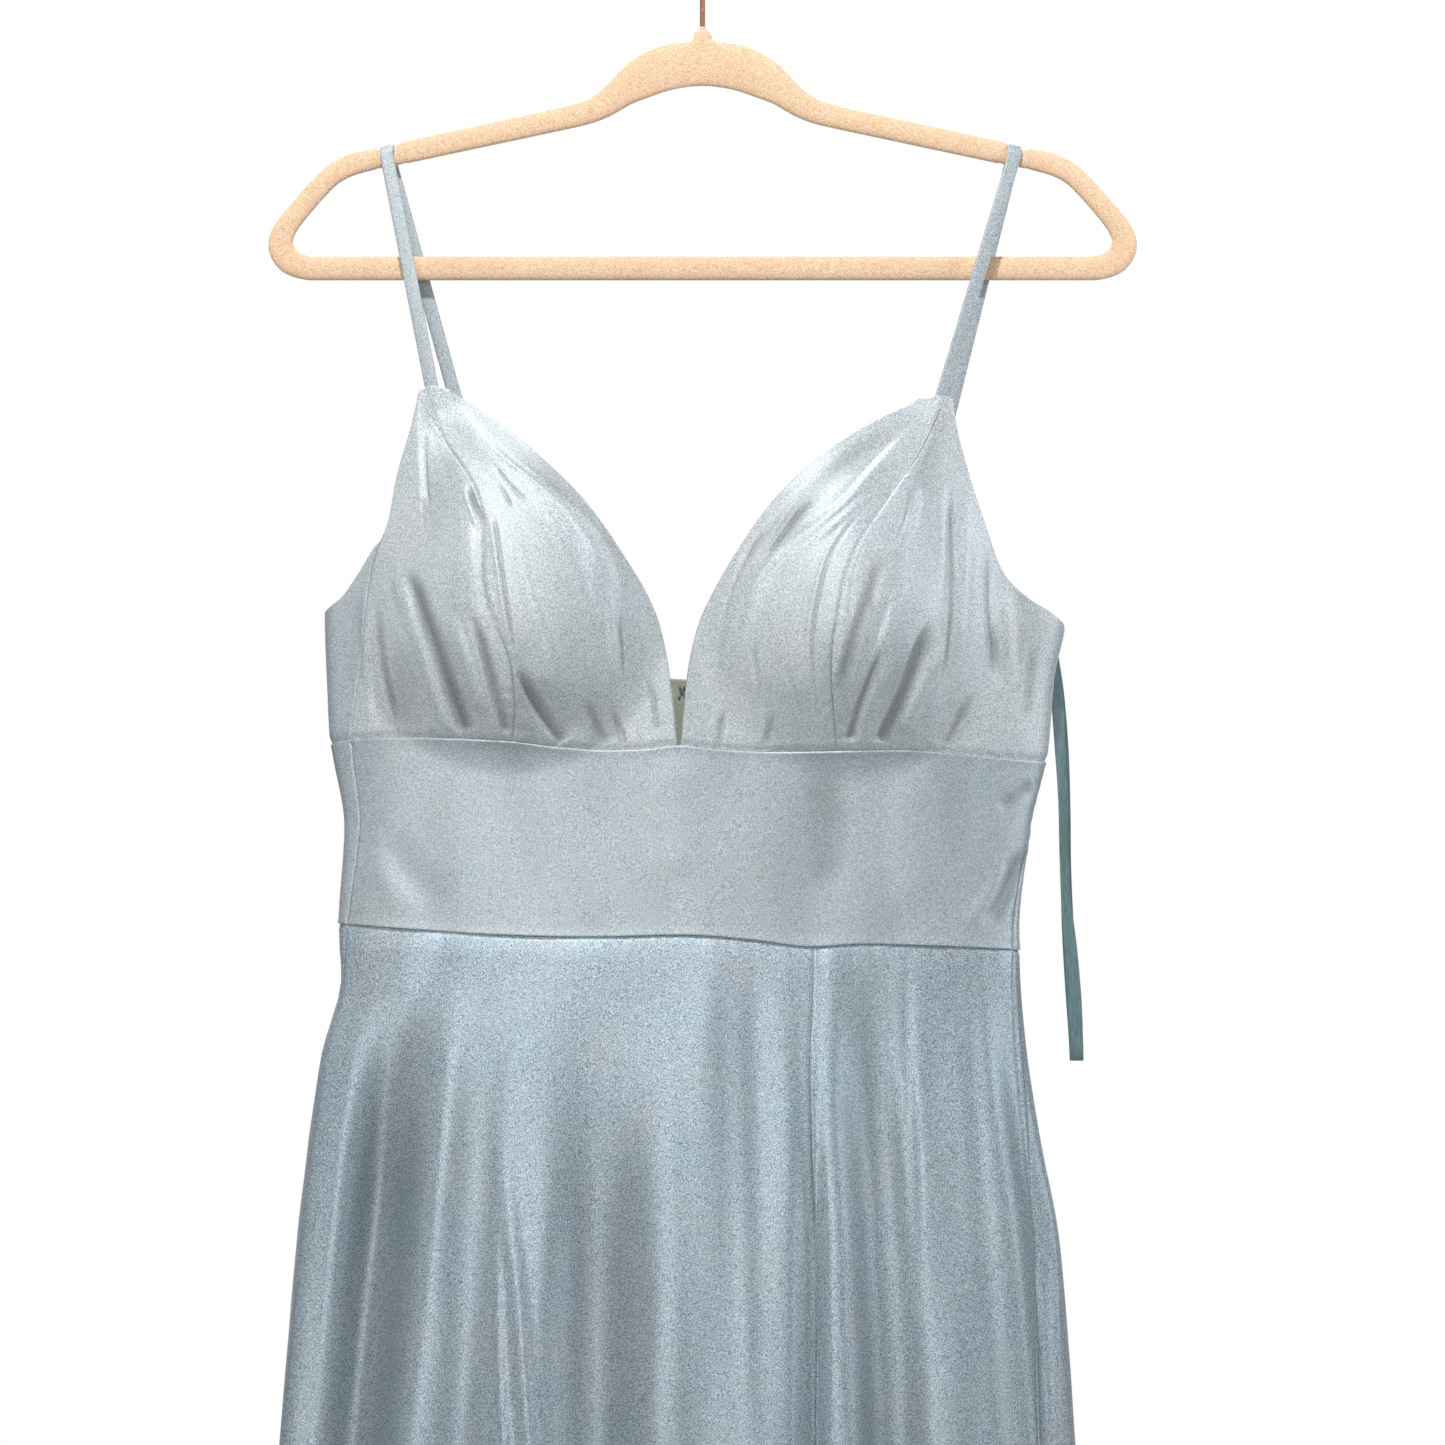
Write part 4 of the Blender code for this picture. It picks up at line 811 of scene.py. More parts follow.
BACK_FOLDS = [
    Fold(0.6, 5, 9, [(-156, 424), (-120, 430), (-84, 428), (-46, 434)], 0.35, 0.45),
    Fold(-0.7, 6, 8, [(-164, 440), (-130, 450), (-96, 448), (-40, 455)], 0.4, 0.4),
    Fold(0.6, 5, 9, [(156, 423), (120, 432), (86, 433), (34, 439)], 0.4, 0.45),
    Fold(-0.7, 6, 8, [(158, 442), (112, 453), (70, 450), (30, 458)], 0.35, 0.4),
    Fold(-0.7, 8, 9, [(-16, 498), (-60, 506), (-104, 500), (-160, 512)], 0.35, 0.45),
    Fold(0.6, 7, 12, [(-20, 524), (-70, 532), (-120, 524), (-170, 532)], 0.4, 0.4),
    Fold(-0.6, 7, 7, [(-30, 548), (-70, 551), (-128, 546)], 0.4, 0.4),
    Fold(-0.7, 8, 9, [(20, 496), (66, 505), (108, 499), (150, 508)], 0.35, 0.45),
    Fold(0.6, 7, 12, [(24, 520), (70, 531), (118, 522), (152, 528)], 0.4, 0.4),
    Fold(-0.6, 7, 7, [(36, 545), (72, 550), (120, 546)], 0.4, 0.4),
    Fold(-1.0, 4, 6, [(-18, 470), (-26, 500), (-30, 540)], 0.3, 0.4),
    Fold(-1.0, 6, 4, [(28, 472), (36, 505), (38, 548)], 0.3, 0.4),
    Fold(1.2, 9, 9, [(-16, 575), (-26, 650), (-38, 740), (-46, 860)], 0.1, 0.5),
    Fold(1.2, 9, 9, [(24, 575), (33, 650), (46, 740), (54, 860)], 0.1, 0.5),
    Fold(-3.6, 16, 20, [(-60, 566), (-70, 650), (-80, 760), (-88, 900), (-92, 1050)], 0.14, 0.5),
    Fold(-3.4, 20, 15, [(64, 570), (74, 650), (84, 760), (92, 900), (96, 1050)], 0.14, 0.5),
    Fold(2.4, 14, 12, [(-110, 566), (-124, 640), (-138, 740), (-150, 880)], 0.14, 0.5),
    Fold(2.4, 12, 14, [(104, 570), (116, 640), (128, 740), (140, 880)], 0.14, 0.5),
]


def wandering_folds(count, seed, first_drop):
    """Long shallow folds for the parts of the skirt that the photograph doesn't show."""
    dice = np.random.default_rng(seed)
    folds = []
    for k in range(count):
        share = (k + dice.uniform(0.2, 0.8)) / count
        top = dice.uniform(first_drop, first_drop + 260)
        lean = dice.uniform(-0.02, 0.02)
        points = []
        for drop in np.linspace(top, HEM + 30, 6):
            x = mix(float(LEFT(drop)), float(RIGHT(drop)), share) * 0.97
            points.append((x + lean * (drop - top) + dice.uniform(-2, 2), drop))
        reach = dice.uniform(1.8, 3.6) * (1 if k % 2 else -1)
        folds.append(Fold(reach, dice.uniform(7, 13), dice.uniform(7, 13), points, 0.35, 0.03))
    return folds


def along_seam(seam, first_drop, last_drop):
    """Points on a seam of the skirt, for a fold that follows it."""
    drops = np.linspace(first_drop, last_drop, 8)
    return [(float(tube(seam(d), d)[0]), float(d)) for d in drops]


PAST_HEM = HEM + 60
SLIT_LINE = along_seam(slit_seam, 590, PAST_HEM)
SLIT_FOLDS = [Fold(-2.8, 14, 0.4, SLIT_LINE, 0.16, 0.03)]
SLIT_LEDGE_FOLDS = [
    Fold(-1.4, 0.4, 9, SLIT_LINE, 0.16, 0.03),
    Fold(0.8, 9, 9, [(x + 11, d) for x, d in along_seam(slit_seam, 560, 900)], 0.04, 0.4),
]
SIDE_FOLDS = [
    SIDE_RIDGE,
    Fold(-1.35, 0.3, 22, along_seam(left_side, 560, PAST_HEM), 0.03, 0.03),
    Fold(1.2, 5, 5, [(x + 12, d) for x, d in along_seam(left_side, 620, 1200)], 0.2, 0.3),
]
SKIRT_FRONT_FOLDS.append(Fold(-1.6, 13, 7, SLIT_LINE, 0.16, 0.03))
SKIRT_FRONT_FOLDS += wandering_folds(20, 11, 840)
BACK_FOLDS += wandering_folds(22, 12, 640)
print("folds of the skirt:", len(SKIRT_FRONT_FOLDS), "in front,", len(BACK_FOLDS), "behind")

# %% [markdown]
# A fold could be sculpted by hand or simulated, but a simulation wouldn't put it where the photograph
# has it. Here each point finds its nearest place on a fold's line, and a soft hump or a pinched crest
# across that line gives its height. Folds add up, as they do in cloth.

# %% Work out the height of all the folds at each point
def through(points, count):
    """More points on a smooth line through a few, by Catmull and Rom's rule."""
    p = np.array(points, float)
    p = np.vstack([2 * p[0] - p[1], p, 2 * p[-1] - p[-2]])
    t = np.linspace(0, 1, count, endpoint=False)[:, None]
    rows = [
        0.5 * (2 * p[i] + (p[i + 1] - p[i - 1]) * t
               + (2 * p[i - 1] - 5 * p[i] + 4 * p[i + 1] - p[i + 2]) * t**2
               + (3 * p[i] - p[i - 1] - 3 * p[i + 1] + p[i + 2]) * t**3)
        for i in range(1, len(p) - 2)
    ]
    return np.vstack(rows + [p[-2:-1]])


def nearest_on(line, x, drop):
    """Each point's distance from a line, its side, positive to the east, and its share along it."""
    lengths = np.hypot(*np.diff(line, axis=0).T)
    starts = np.concatenate([[0], np.cumsum(lengths)])
    best, side, along = np.full(x.shape, np.inf), 0 * x, 0 * x
    for (from_x, from_drop), (dx, dd), length, start in zip(line, np.diff(line, axis=0), lengths, starts):
        px, pd = x - from_x, drop - from_drop
        t = np.clip((px * dx + pd * dd) / length**2, 0, 1)
        off = np.hypot(px - t * dx, pd - t * dd)
        closer = off < best
        best = np.where(closer, off, best)
        side = np.where(closer, px * dd - pd * dx, side)
        along = np.where(closer, (start + t * length) / starts[-1], along)
    return best, side, along


UNEVENNESS = 0.14


def fold_height(folds, x, drop):
    """The sum of the folds at each point, in millimetres. No fold is quite even along its line."""
    total = np.zeros(np.shape(x))
    for number, fold in enumerate(folds):
        line = through(fold.points, 4)
        wide = max(fold.west, fold.east)
        near = (x > line[:, 0].min() - wide) & (x < line[:, 0].max() + wide)
        near &= (drop > line[:, 1].min() - wide) & (drop < line[:, 1].max() + wide)
        if not near.any():
            continue
        best, side, along = nearest_on(line, x[near], drop[near])
        off = np.clip(best / np.where(side > 0, fold.east, fold.west), 0, 1)
        shape = (1 - off) ** 2 * (1 + off) if fold.sharp else hump(off)
        ends = ease(along / fold.start) * ease((1 - along) / fold.end)
        uneven = 1 + UNEVENNESS * np.sin(along * 9 + number * 1.7)
        total[near] += fold.reach * shape * ends * uneven
    return total


RIPPLE_WAVES, RIPPLE_HEIGHT, RIPPLE_LENGTH = 9, 0.22, 42


def ripple(x, drop, seed):
    """Slow unevenness of hanging cloth: a sum of a few slanting waves."""
    dice = np.random.default_rng(seed)
    total = 0 * x
    for _ in range(RIPPLE_WAVES):
        turn = dice.uniform(-0.9, 0.9)
        wave = RIPPLE_LENGTH * dice.uniform(0.6, 1.8)
        phase = dice.uniform(0, 2 * math.pi)
        total += np.sin(2 * math.pi * (x * math.cos(turn) + drop * math.sin(turn) * 0.6) / wave + phase)
    return total * RIPPLE_HEIGHT / math.sqrt(RIPPLE_WAVES)


print("highest fold on the right cup:", round(float(fold_height(
    RIGHT_CUP_FOLDS, *np.meshgrid(np.arange(-170, -20, 2.0), np.arange(290, 465, 2.0))).max()), 1), "mm")

# %% [markdown]
# ## A cloth panel
# A panel is a closed wall between two grids of points, the outer face in satin and the inner one in the
# lining side. Its grid is finer near the edges, because that is where a sewn piece shows its making: a
# free edge is turned and round, a seam pulls both sides into a groove with small puckers, and the band
# lies over the cups and the skirt, which tuck in under it. All depths and distances are in millimetres.

# %% Define the grid and the edges of a panel
WALL = 1.4
SEAM_GAP = 0.04
NEAR_EDGE = np.array([0.0, 0.3, 0.7, 1.2, 1.9, 2.9])
SEAM_DEPTH, SEAM_REACH = 0.6, 1.5
TUCK_DEPTH, TUCK_REACH = 0.9, 4.2
BAND_PROUD, BAND_REACH, BAND_OUTER_RADIUS, BAND_INNER_RADIUS = 0.35, 5, 0.6, 0.4
PUCKER_HEIGHT, PUCKER_REACH, SHORTEST_PUCKER, LONGEST_PUCKER = 0.075, 4.5, 5, 13
KIND_CHANGE = 3

Edge = namedtuple("Edge", "outer inner")


def stations(length, step):
    """Distances from 0 to a length, fine near both ends."""
    count = max(3, round((length - 2 * NEAR_EDGE[-1]) / step))
    middle = np.linspace(NEAR_EDGE[-1], length - NEAR_EDGE[-1], count + 1)[1:-1]
    return np.concatenate([NEAR_EDGE, middle, length - NEAR_EDGE[::-1]])


def rounded(distance, radius):
    """How far a round edge falls back at a distance from its end."""
    return 0.9 * radius * (1 - np.sqrt(1 - (1 - np.clip(distance / radius, 0, 1)) ** 2))


def edge_shape(kind, distance):
    """How far the outer and inner faces fall back near an edge: free, a seam, a tuck or over another."""
    if kind == "free":
        return Edge(rounded(distance, WALL / 2), rounded(distance, WALL / 2))
    if kind == "seam":
        return Edge(SEAM_DEPTH * (1 - ease(distance / SEAM_REACH)), 0 * distance)
    if kind == "tuck":
        return Edge(TUCK_DEPTH * (1 - ease(distance / TUCK_REACH)), 0 * distance)
    proud = BAND_PROUD * (1 - ease(distance / BAND_REACH))
    return Edge(rounded(distance, BAND_OUTER_RADIUS) - proud, rounded(distance, BAND_INNER_RADIUS))


def edge_falls(kind, distance, drop):
    """The edge's shape, where a kind may be a triple: above a drop, below it, and that drop."""
    if isinstance(kind, str):
        return edge_shape(kind, distance)
    above, below, at = kind
    share = ease((drop - at + KIND_CHANGE) / (2 * KIND_CHANGE))
    first, second = edge_shape(above, distance), edge_shape(below, distance)
    return Edge(mix(first.outer, second.outer, share), mix(first.inner, second.inner, share))


def pucker(distance, along, seed):
    """Small gathers that sewing leaves beside a seam."""
    dice = np.random.default_rng(seed)
    waves = sum(
        np.sin(2 * math.pi * along / dice.uniform(SHORTEST_PUCKER, LONGEST_PUCKER) + dice.uniform(0, 6))
        for _ in range(4)
    )
    return PUCKER_HEIGHT * waves * np.exp(-distance / PUCKER_REACH) * ease(distance / SEAM_REACH)


print("grid of a 60 mm panel:", len(stations(60, 1.4)), "columns")

# %% [markdown]
# The wall is written straight into mesh arrays, which is much faster than adding faces one by one. It
# also gets a UV map in real lengths, which tells the satin which way its threads run.

# %% Build a closed wall from two grids
def shell(name, outer, inner, outside, inside):
    """A closed mesh object from grids in millimetres. Rows go up, and columns towards +X in front."""
    rows, columns, _ = outer.shape
    size = rows * columns
    index = np.arange(size).reshape(rows, columns)
    a, b, d, e = index[:-1, :-1], index[:-1, 1:], index[1:, :-1], index[1:, 1:]
    front = np.stack([a, b, e, d], -1).reshape(-1, 4)
    back = np.stack([a, d, e, b], -1).reshape(-1, 4) + size
    rim = np.concatenate([index[0], index[1:, -1], index[-1, -2::-1], index[-2:0:-1, 0]])
    after = np.roll(rim, -1)
    sides = np.stack([after, rim, rim + size, after + size], -1)
    faces = np.concatenate([front, back, sides])
    points = np.concatenate([outer.reshape(-1, 3), inner.reshape(-1, 3)]) * MM
    mesh = bpy.data.meshes.new(name)
    mesh.vertices.add(len(points))
    mesh.vertices.foreach_set("co", points.ravel())
    mesh.loops.add(faces.size)
    mesh.loops.foreach_set("vertex_index", faces.ravel())
    mesh.polygons.add(len(faces))
    mesh.polygons.foreach_set("loop_start", np.arange(0, faces.size, 4))
    mesh.materials.append(outside)
    mesh.materials.append(inside)
    kind = np.zeros(len(faces), np.int32)
    kind[len(front):len(front) + len(back)] = 1
    mesh.polygons.foreach_set("material_index", kind)
    flat = np.stack([lengths_along(outer, 1), lengths_along(outer, 0)], -1).reshape(-1, 2) * MM
    mesh.uv_layers.new(name="cloth").data.foreach_set("uv", np.tile(flat, (2, 1))[faces.ravel()].ravel())
    mesh.update(calc_edges=True)
    mesh.shade_smooth()
    return placed(name, mesh)


def lengths_along(grid, axis):
    """The distance of each point of a grid from its first row or column, along the grid."""
    step = np.linalg.norm(np.diff(grid, axis=axis), axis=-1)
    zero = np.zeros_like(np.take(step, [0], axis))
    return np.concatenate([zero, np.cumsum(step, axis)], axis)


def moved(edge, side):
    """An edge moved half a seam gap to one side of its seam."""

    def at(drop):
        angle = edge(drop)
        return angle + side * SEAM_GAP / 2 / mm_per_degree(angle, drop)

    return at


def sew_on(piece, nodes=(), body="root"):
    """Makes a finished piece ride on its body and stand for its CAD nodes, and prints its triangles."""
    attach(piece, body)
    if nodes:
        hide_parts(*nodes)
    triangles = sum(len(p.vertices) - 2 for p in piece.data.polygons)
    print(f"{piece.name}: {triangles} triangles")
    return piece


# %% [markdown]
# The panel itself: its columns keep their share of the width from bottom to top, and each column starts
# and ends where it meets the level edges. The bottom and top drops are found by repetition, since an
# edge's drop depends on the angle and the angle on the drop.

# %% Define a panel's grid
Grid = namedtuple("Grid", "across up even_at")
Panel = namedtuple("Panel", "node start end bottom top grid folds edges rests_on")
ZIP_TOP, ZIP_BOTTOM, ZIP_TAPE_WIDTH = 437.0, 765.0, 24.0
WIDTH_SAMPLES, EDGE_REPEATS, FIRST_GUESS = 800, 14, 500.0


def calm(edge):
    """An edge without its sharp bends, which columns inside the panel follow instead of it."""
    return lambda drop: sum(edge(drop + d) for d in (-18, -12, -6, 0, 6, 12, 18)) / 7


def panel_grid(p):
    """Angles and drops of a panel's points: rows from the bottom up, columns from start to end."""
    start, end = moved(p.start, 1), moved(p.end, -1)
    calm_start, calm_end = calm(start), calm(end)
    fine = np.linspace(0, 1, WIDTH_SAMPLES)
    level = p.grid.even_at
    line = surface(mix(start(level), end(level), fine), np.full(len(fine), float(level)))
    arc = lengths_along(line, 0)
    u = np.interp(stations(arc[-1], p.grid.across), arc, fine)

    def angle_at(drop):
        first, last = calm_start(drop), calm_end(drop)
        angle = mix(first, last, u) + (start(drop) - first) * (1 - u) ** 5
        return angle + (end(drop) - last) * u**5

    low, high = np.full(len(u), FIRST_GUESS), np.full(len(u), FIRST_GUESS)
    for _ in range(EDGE_REPEATS):
        low, high = p.bottom(angle_at(low)), p.top(angle_at(high))
    tall = float(np.abs(low - high).max())
    v = (stations(tall, p.grid.up) / tall)[:, None]
    drop = mix(low[None, :], high[None, :], v)
    return angle_at(drop), drop


print("rows in a 100 mm tall panel:", len(stations(100, 2.0)))

# %% [markdown]
# A panel is then draped and sewn: its folds raise and lower it, seams pull it in and tucks calm it, and
# both of its faces follow. How deep a point lies in its folds is stored for the satin as painted shade,
# which darkens the colour in the hollows. A cup's gathers are shallow and a skirt's folds deep, so each
# family of panels reaches its full painted shade over its own depth.

# %% Define a cloth panel
SIDE_BLEND = 0.1
FLAT_BESIDE_ZIP, FLAT_BELOW_ZIP = 9, 40
TUCK_CALM, LEAST_FOLD_SHARE = 7, 0.3


def draped(p, angle, drop, x, seed):
    """The height of a panel's folds over the gown's surface. Beside the zip the cloth lies flat."""
    front = ease((np.cos(np.radians(angle)) + SIDE_BLEND) / (2 * SIDE_BLEND))
    height = fold_height(p.folds, x, drop) * front + ripple(x, drop, seed)
    if (front < 1).any():
        height = height + fold_height(BACK_FOLDS, x, drop) * (1 - front)
        by_zip = ease((np.abs(x - BACK_MIDDLE_X) - ZIP_TAPE_WIDTH / 2 - 1) / FLAT_BESIDE_ZIP)
        below_zip = ease((drop - ZIP_BOTTOM) / FLAT_BELOW_ZIP)
        height = height * np.maximum(by_zip, np.maximum(below_zip, front))
    return height


def sewn(p, height, drop, sides, seed):
    """The height with what sewing does to it, and how far the two faces fall back at the edges."""
    keep = 1.0
    for kind, distance in zip(p.edges[2:], sides[2:]):
        if kind == "tuck":
            keep = keep * ease(distance / TUCK_CALM)
    height = height * mix(LEAST_FOLD_SHARE, 1.0, keep)
    outer_fall, inner_fall = 0 * drop, 0 * drop
    for k, (kind, distance) in enumerate(zip(p.edges, sides)):
        fall = edge_falls(kind, distance, drop)
        outer_fall = np.where(np.abs(fall.outer) > np.abs(outer_fall), fall.outer, outer_fall)
        inner_fall = np.maximum(inner_fall, fall.inner)
        if kind in ("seam", "tuck"):
            height = height + pucker(distance, sides[2] if k < 2 else sides[0], seed * 10 + k)
    return height, outer_fall, inner_fall


cloth_grids = {}
# Painted shade in creases: its strongest share, and for each family the fold depth over which it builds
# up.
PAINTED_CREASE_SHADE = 0.62
Family = namedtuple("Family", "satin darkening_depth")
FAMILIES = {"cup": Family(cup_satin_painted_paler, 1.0), "skirt": Family(skirt_satin_painted_darker, 24.0)}
PLAIN_FAMILY = Family(satin, 1.4)


def cloth_panel(p, seed):
    """One panel of the gown, with its folds, edges and puckers."""
    angle, drop = panel_grid(p)
    base, out = surface(angle, drop), outward(angle, drop)
    across, up = lengths_along(base, 1), lengths_along(base, 0)
    sides = [across, across[:, -1:] - across, up, up[-1:, :] - up]
    height = draped(p, angle, drop, base[..., 0], seed)
    height, outer_fall, inner_fall = sewn(p, height, drop, sides, seed)
    outer = base + out * (height - outer_fall)[..., None]
    inner = base + out * (height - WALL + inner_fall)[..., None]
    cloth_grids[p.node] = (outer, out, up)
    family = FAMILIES.get(p.node.split("_")[0], PLAIN_FAMILY)
    piece = shell(p.node + "_cloth", outer, inner, family.satin, lining)
    # Painted shade: the deeper a point lies in a fold, the darker its colour is painted.
    dark = PAINTED_CREASE_SHADE * (1 - np.exp(np.minimum(height, 0) / family.darkening_depth))
    store = piece.data.attributes.new("painted_crease_shade", "FLOAT", "POINT").data
    store.foreach_set("value", np.tile(dark.ravel(), 2))
    sew_on(piece, [p.node])


def sew_panels(panels, first_seed):
    for number, panel in enumerate(panels):
        cloth_panel(panel, first_seed + number)


# %% [markdown]
# ### The cups
# Each cup is two panels that meet in a curved seam over its fullest part. Their grids are the finest,
# about a millimetre, because the gathers that run from the pad to the seams are only a few millimetres
# wide.

# %% Sew the cups
CUP_GRID = Grid(across=0.95, up=1.2, even_at=430)
CUP_PANELS = [
    Panel("cup_right_side", right_side, right_cup_seam, bust_seam, right_apex, CUP_GRID,
          RIGHT_CUP_FOLDS, (("free", "seam", 362), "seam", "tuck", "free"), ["strap_right"]),
    Panel("cup_right_centre", right_cup_seam, right_neckline, bust_seam, right_apex, CUP_GRID,
          RIGHT_CUP_FOLDS, ("seam", "free", "tuck", "free"), ["strap_right"]),
    Panel("cup_left_centre", left_neckline, left_cup_seam, bust_seam, left_apex, CUP_GRID,
          LEFT_CUP_FOLDS, ("free", "seam", "tuck", "free"), ["strap_left"]),
    Panel("cup_left_side", left_cup_seam, left_cup_edge, bust_seam, left_apex, CUP_GRID,
          LEFT_CUP_FOLDS, ("seam", ("free", "seam", 404), "tuck", "free"), ["strap_left"]),
]
sew_panels(CUP_PANELS, 21)

# %% [markdown]
# ### The back and the band
# The back above the band is two plain panels that the straps pull up at one point each. The band is a
# straight strip under the bust, cut in one front and two back pieces, and it is stiffened, so it has
# hardly any folds in front.

# %% Sew the back and the band
BACK_GRID = Grid(across=2.0, up=1.6, even_at=440)
BAND_GRID = Grid(across=2.2, up=2.0, even_at=510)
BODICE_PANELS = [
    Panel("back_top_right", back_middle_from_right, right_side, bust_seam, back_top_right, BACK_GRID,
          RIGHT_CUP_FOLDS, ("seam", ("free", "seam", 362), "tuck", "free"), ["strap_right"]),
    Panel("back_top_left", left_side, back_middle, bust_seam, back_top_left, BACK_GRID,
          LEFT_CUP_FOLDS, ("seam", "seam", "tuck", "free"), ["strap_left"]),
]
BAND_PARTS = [
    ("front", right_side, left_side, "cup_right_centre"),
    ("back_right", back_middle_from_right, right_side, "back_top_right"),
    ("back_left", left_side, back_middle, "back_top_left"),
]
for part, start, end, hangs_from in BAND_PARTS:
    BODICE_PANELS.append(Panel(
        "waistband_" + part, start, end, waist_seam, bust_seam, BAND_GRID, BAND_FOLDS,
        ("seam", "seam", "over", "over"), [hangs_from]))
sew_panels(BODICE_PANELS, 31)

# %% [markdown]
# ### The skirt
# Four long panels flare from the waist seam to the hem. Upright folds need a fine grid across the cloth
# and only a coarse one along it, so the grid's cells are tall.

# %% Sew the skirt
SKIRT_GRID = Grid(across=2.4, up=9, even_at=1000)
NARROW_PANEL_GRID = Grid(across=2.0, up=9, even_at=1000)
SKIRT_PARTS = [
    ("front_right", right_side, slit_seam, SKIRT_GRID, SKIRT_FRONT_FOLDS + SLIT_FOLDS, "front"),
    ("front_left", slit_seam, left_side, NARROW_PANEL_GRID, SKIRT_FRONT_FOLDS + SLIT_LEDGE_FOLDS, "front"),
    ("back_left", left_side, back_middle, SKIRT_GRID, SIDE_FOLDS, "back_left"),
    ("back_right", back_middle_from_right, right_side, SKIRT_GRID, SKIRT_FRONT_FOLDS, "back_right"),
]
SKIRT_PANELS = [
    Panel("skirt_" + part, start, end, hem, waist_seam, grid, folds, ("seam", "seam", "free", "tuck"),
          ["waistband_" + band])
    for part, start, end, grid, folds, band in SKIRT_PARTS
]
sew_panels(SKIRT_PANELS, 41)

# %% [markdown]
# ## Straps and ribbon
# A strap is a narrow tube of satin pressed flat, and the ribbon loop is a single thin layer. Both are
# swept: a flat rounded section is carried along a path, with a width direction at each point that lets
# the strip turn over the hanger and lie along the cloth at its ends.

# %% Define a swept strip
HANGER_THICK = 5.5
NOTCH_TOP = 161.35
STRAP_WIDTH, STRAP_THICK, STRAP_TUCK, STRAP_LOOSE, STRAP_LEAN = 7.0, 1.2, 7.0, 0.35, 12.0
STRAP_SHIFT, STRAP_ABOVE_RIM = 0.6, 3
CAD_GAP = 0.3


def signed_power(value, power):
    """A power that keeps the sign. It makes a rounded oblong out of a circle's cosine and sine."""
    return np.sign(value) * np.abs(value) ** power


def flat_section(width, thick, count=20):
    """A flat rounded outline, as distances along the width and height directions."""
    turn = 2 * np.pi * np.arange(count) / count
    return signed_power(np.cos(turn), 0.35) * width / 2, signed_power(np.sin(turn), 0.75) * thick / 2


def ring_faces(count, around, closed=False):
    """The faces between rings of points, from each ring to the next."""
    faces = []
    for k in range(count if closed else count - 1):
        for c in range(around):
            a, b = k * around + c, k * around + (c + 1) % around
            d, e = (k + 1) % count * around + c, (k + 1) % count * around + (c + 1) % around
            faces.append((a, b, e, d))
    return faces


def smooth_solid(name, points, faces, material, sharpest):
    """An object from points in millimetres, smooth but where it bends by more than an angle."""
    mesh = bpy.data.meshes.new(name)
    mesh.from_pydata((points * MM).tolist(), [], faces)
    mesh.materials.append(material)
    mesh.shade_smooth()
    mesh.set_sharp_from_angle(angle=math.radians(sharpest))
    return placed(name, mesh)


def swept(name, path, across, section, material, closed=False):
    """A solid strip: a section carried along a path in millimetres."""
    along = np.roll(path, -1, 0) - np.roll(path, 1, 0)
    if not closed:
        along[0], along[-1] = path[1] - path[0], path[-1] - path[-2]
    along = unit(along)
    side = unit(across - along * np.sum(across * along, -1, keepdims=True))
    face = np.cross(along, side)
    wide, deep = (np.broadcast_to(part, (len(path), part.shape[-1])) for part in section)
    points = path[:, None] + side[:, None] * wide[..., None] + face[:, None] * deep[..., None]
    count, around = points.shape[:2]
    faces = ring_faces(count, around, closed)
    if not closed:
        faces.append(tuple(range(around - 1, -1, -1)))
        faces.append(tuple(range((count - 1) * around, count * around)))
    made = smooth_solid(name, points.reshape(-1, 3), faces, material, 50)
    lengths = np.cumsum(np.linalg.norm(path - np.roll(path, 1, 0), axis=1)) * MM
    flat = np.stack(np.broadcast_arrays(wide * MM, lengths[:, None]), -1).reshape(-1, 2)
    corners = np.zeros(len(made.data.loops), np.int32)
    made.data.loops.foreach_get("vertex_index", corners)
    made.data.uv_layers.new(name="cloth").data.foreach_set("uv", flat[corners].ravel())
    return made


print("points round a strap:", len(flat_section(STRAP_WIDTH, STRAP_THICK)[0]))

# %% [markdown]
# The straps' paths are those of the CAD part, with more points: from behind the cup's top up to the
# notch, over the hanger in a half turn, and down behind to the back's edge.

# %% Sew the straps
Strap = namedtuple("Strap", "node side front_x front_drop notch_x back_angle")
STRAPS = [
    Strap("strap_right", -1, -137.4, 289, -161.4, -151.6),
    Strap("strap_left", 1, 120.8, 294, 159.6, 147.2),
]


def surface_across(angle, drop):
    """The direction across the gown's surface, towards +X."""
    along = unit(surface(angle + 1, drop) - surface(angle - 1, drop))
    return along if along[0] > 0 else -along


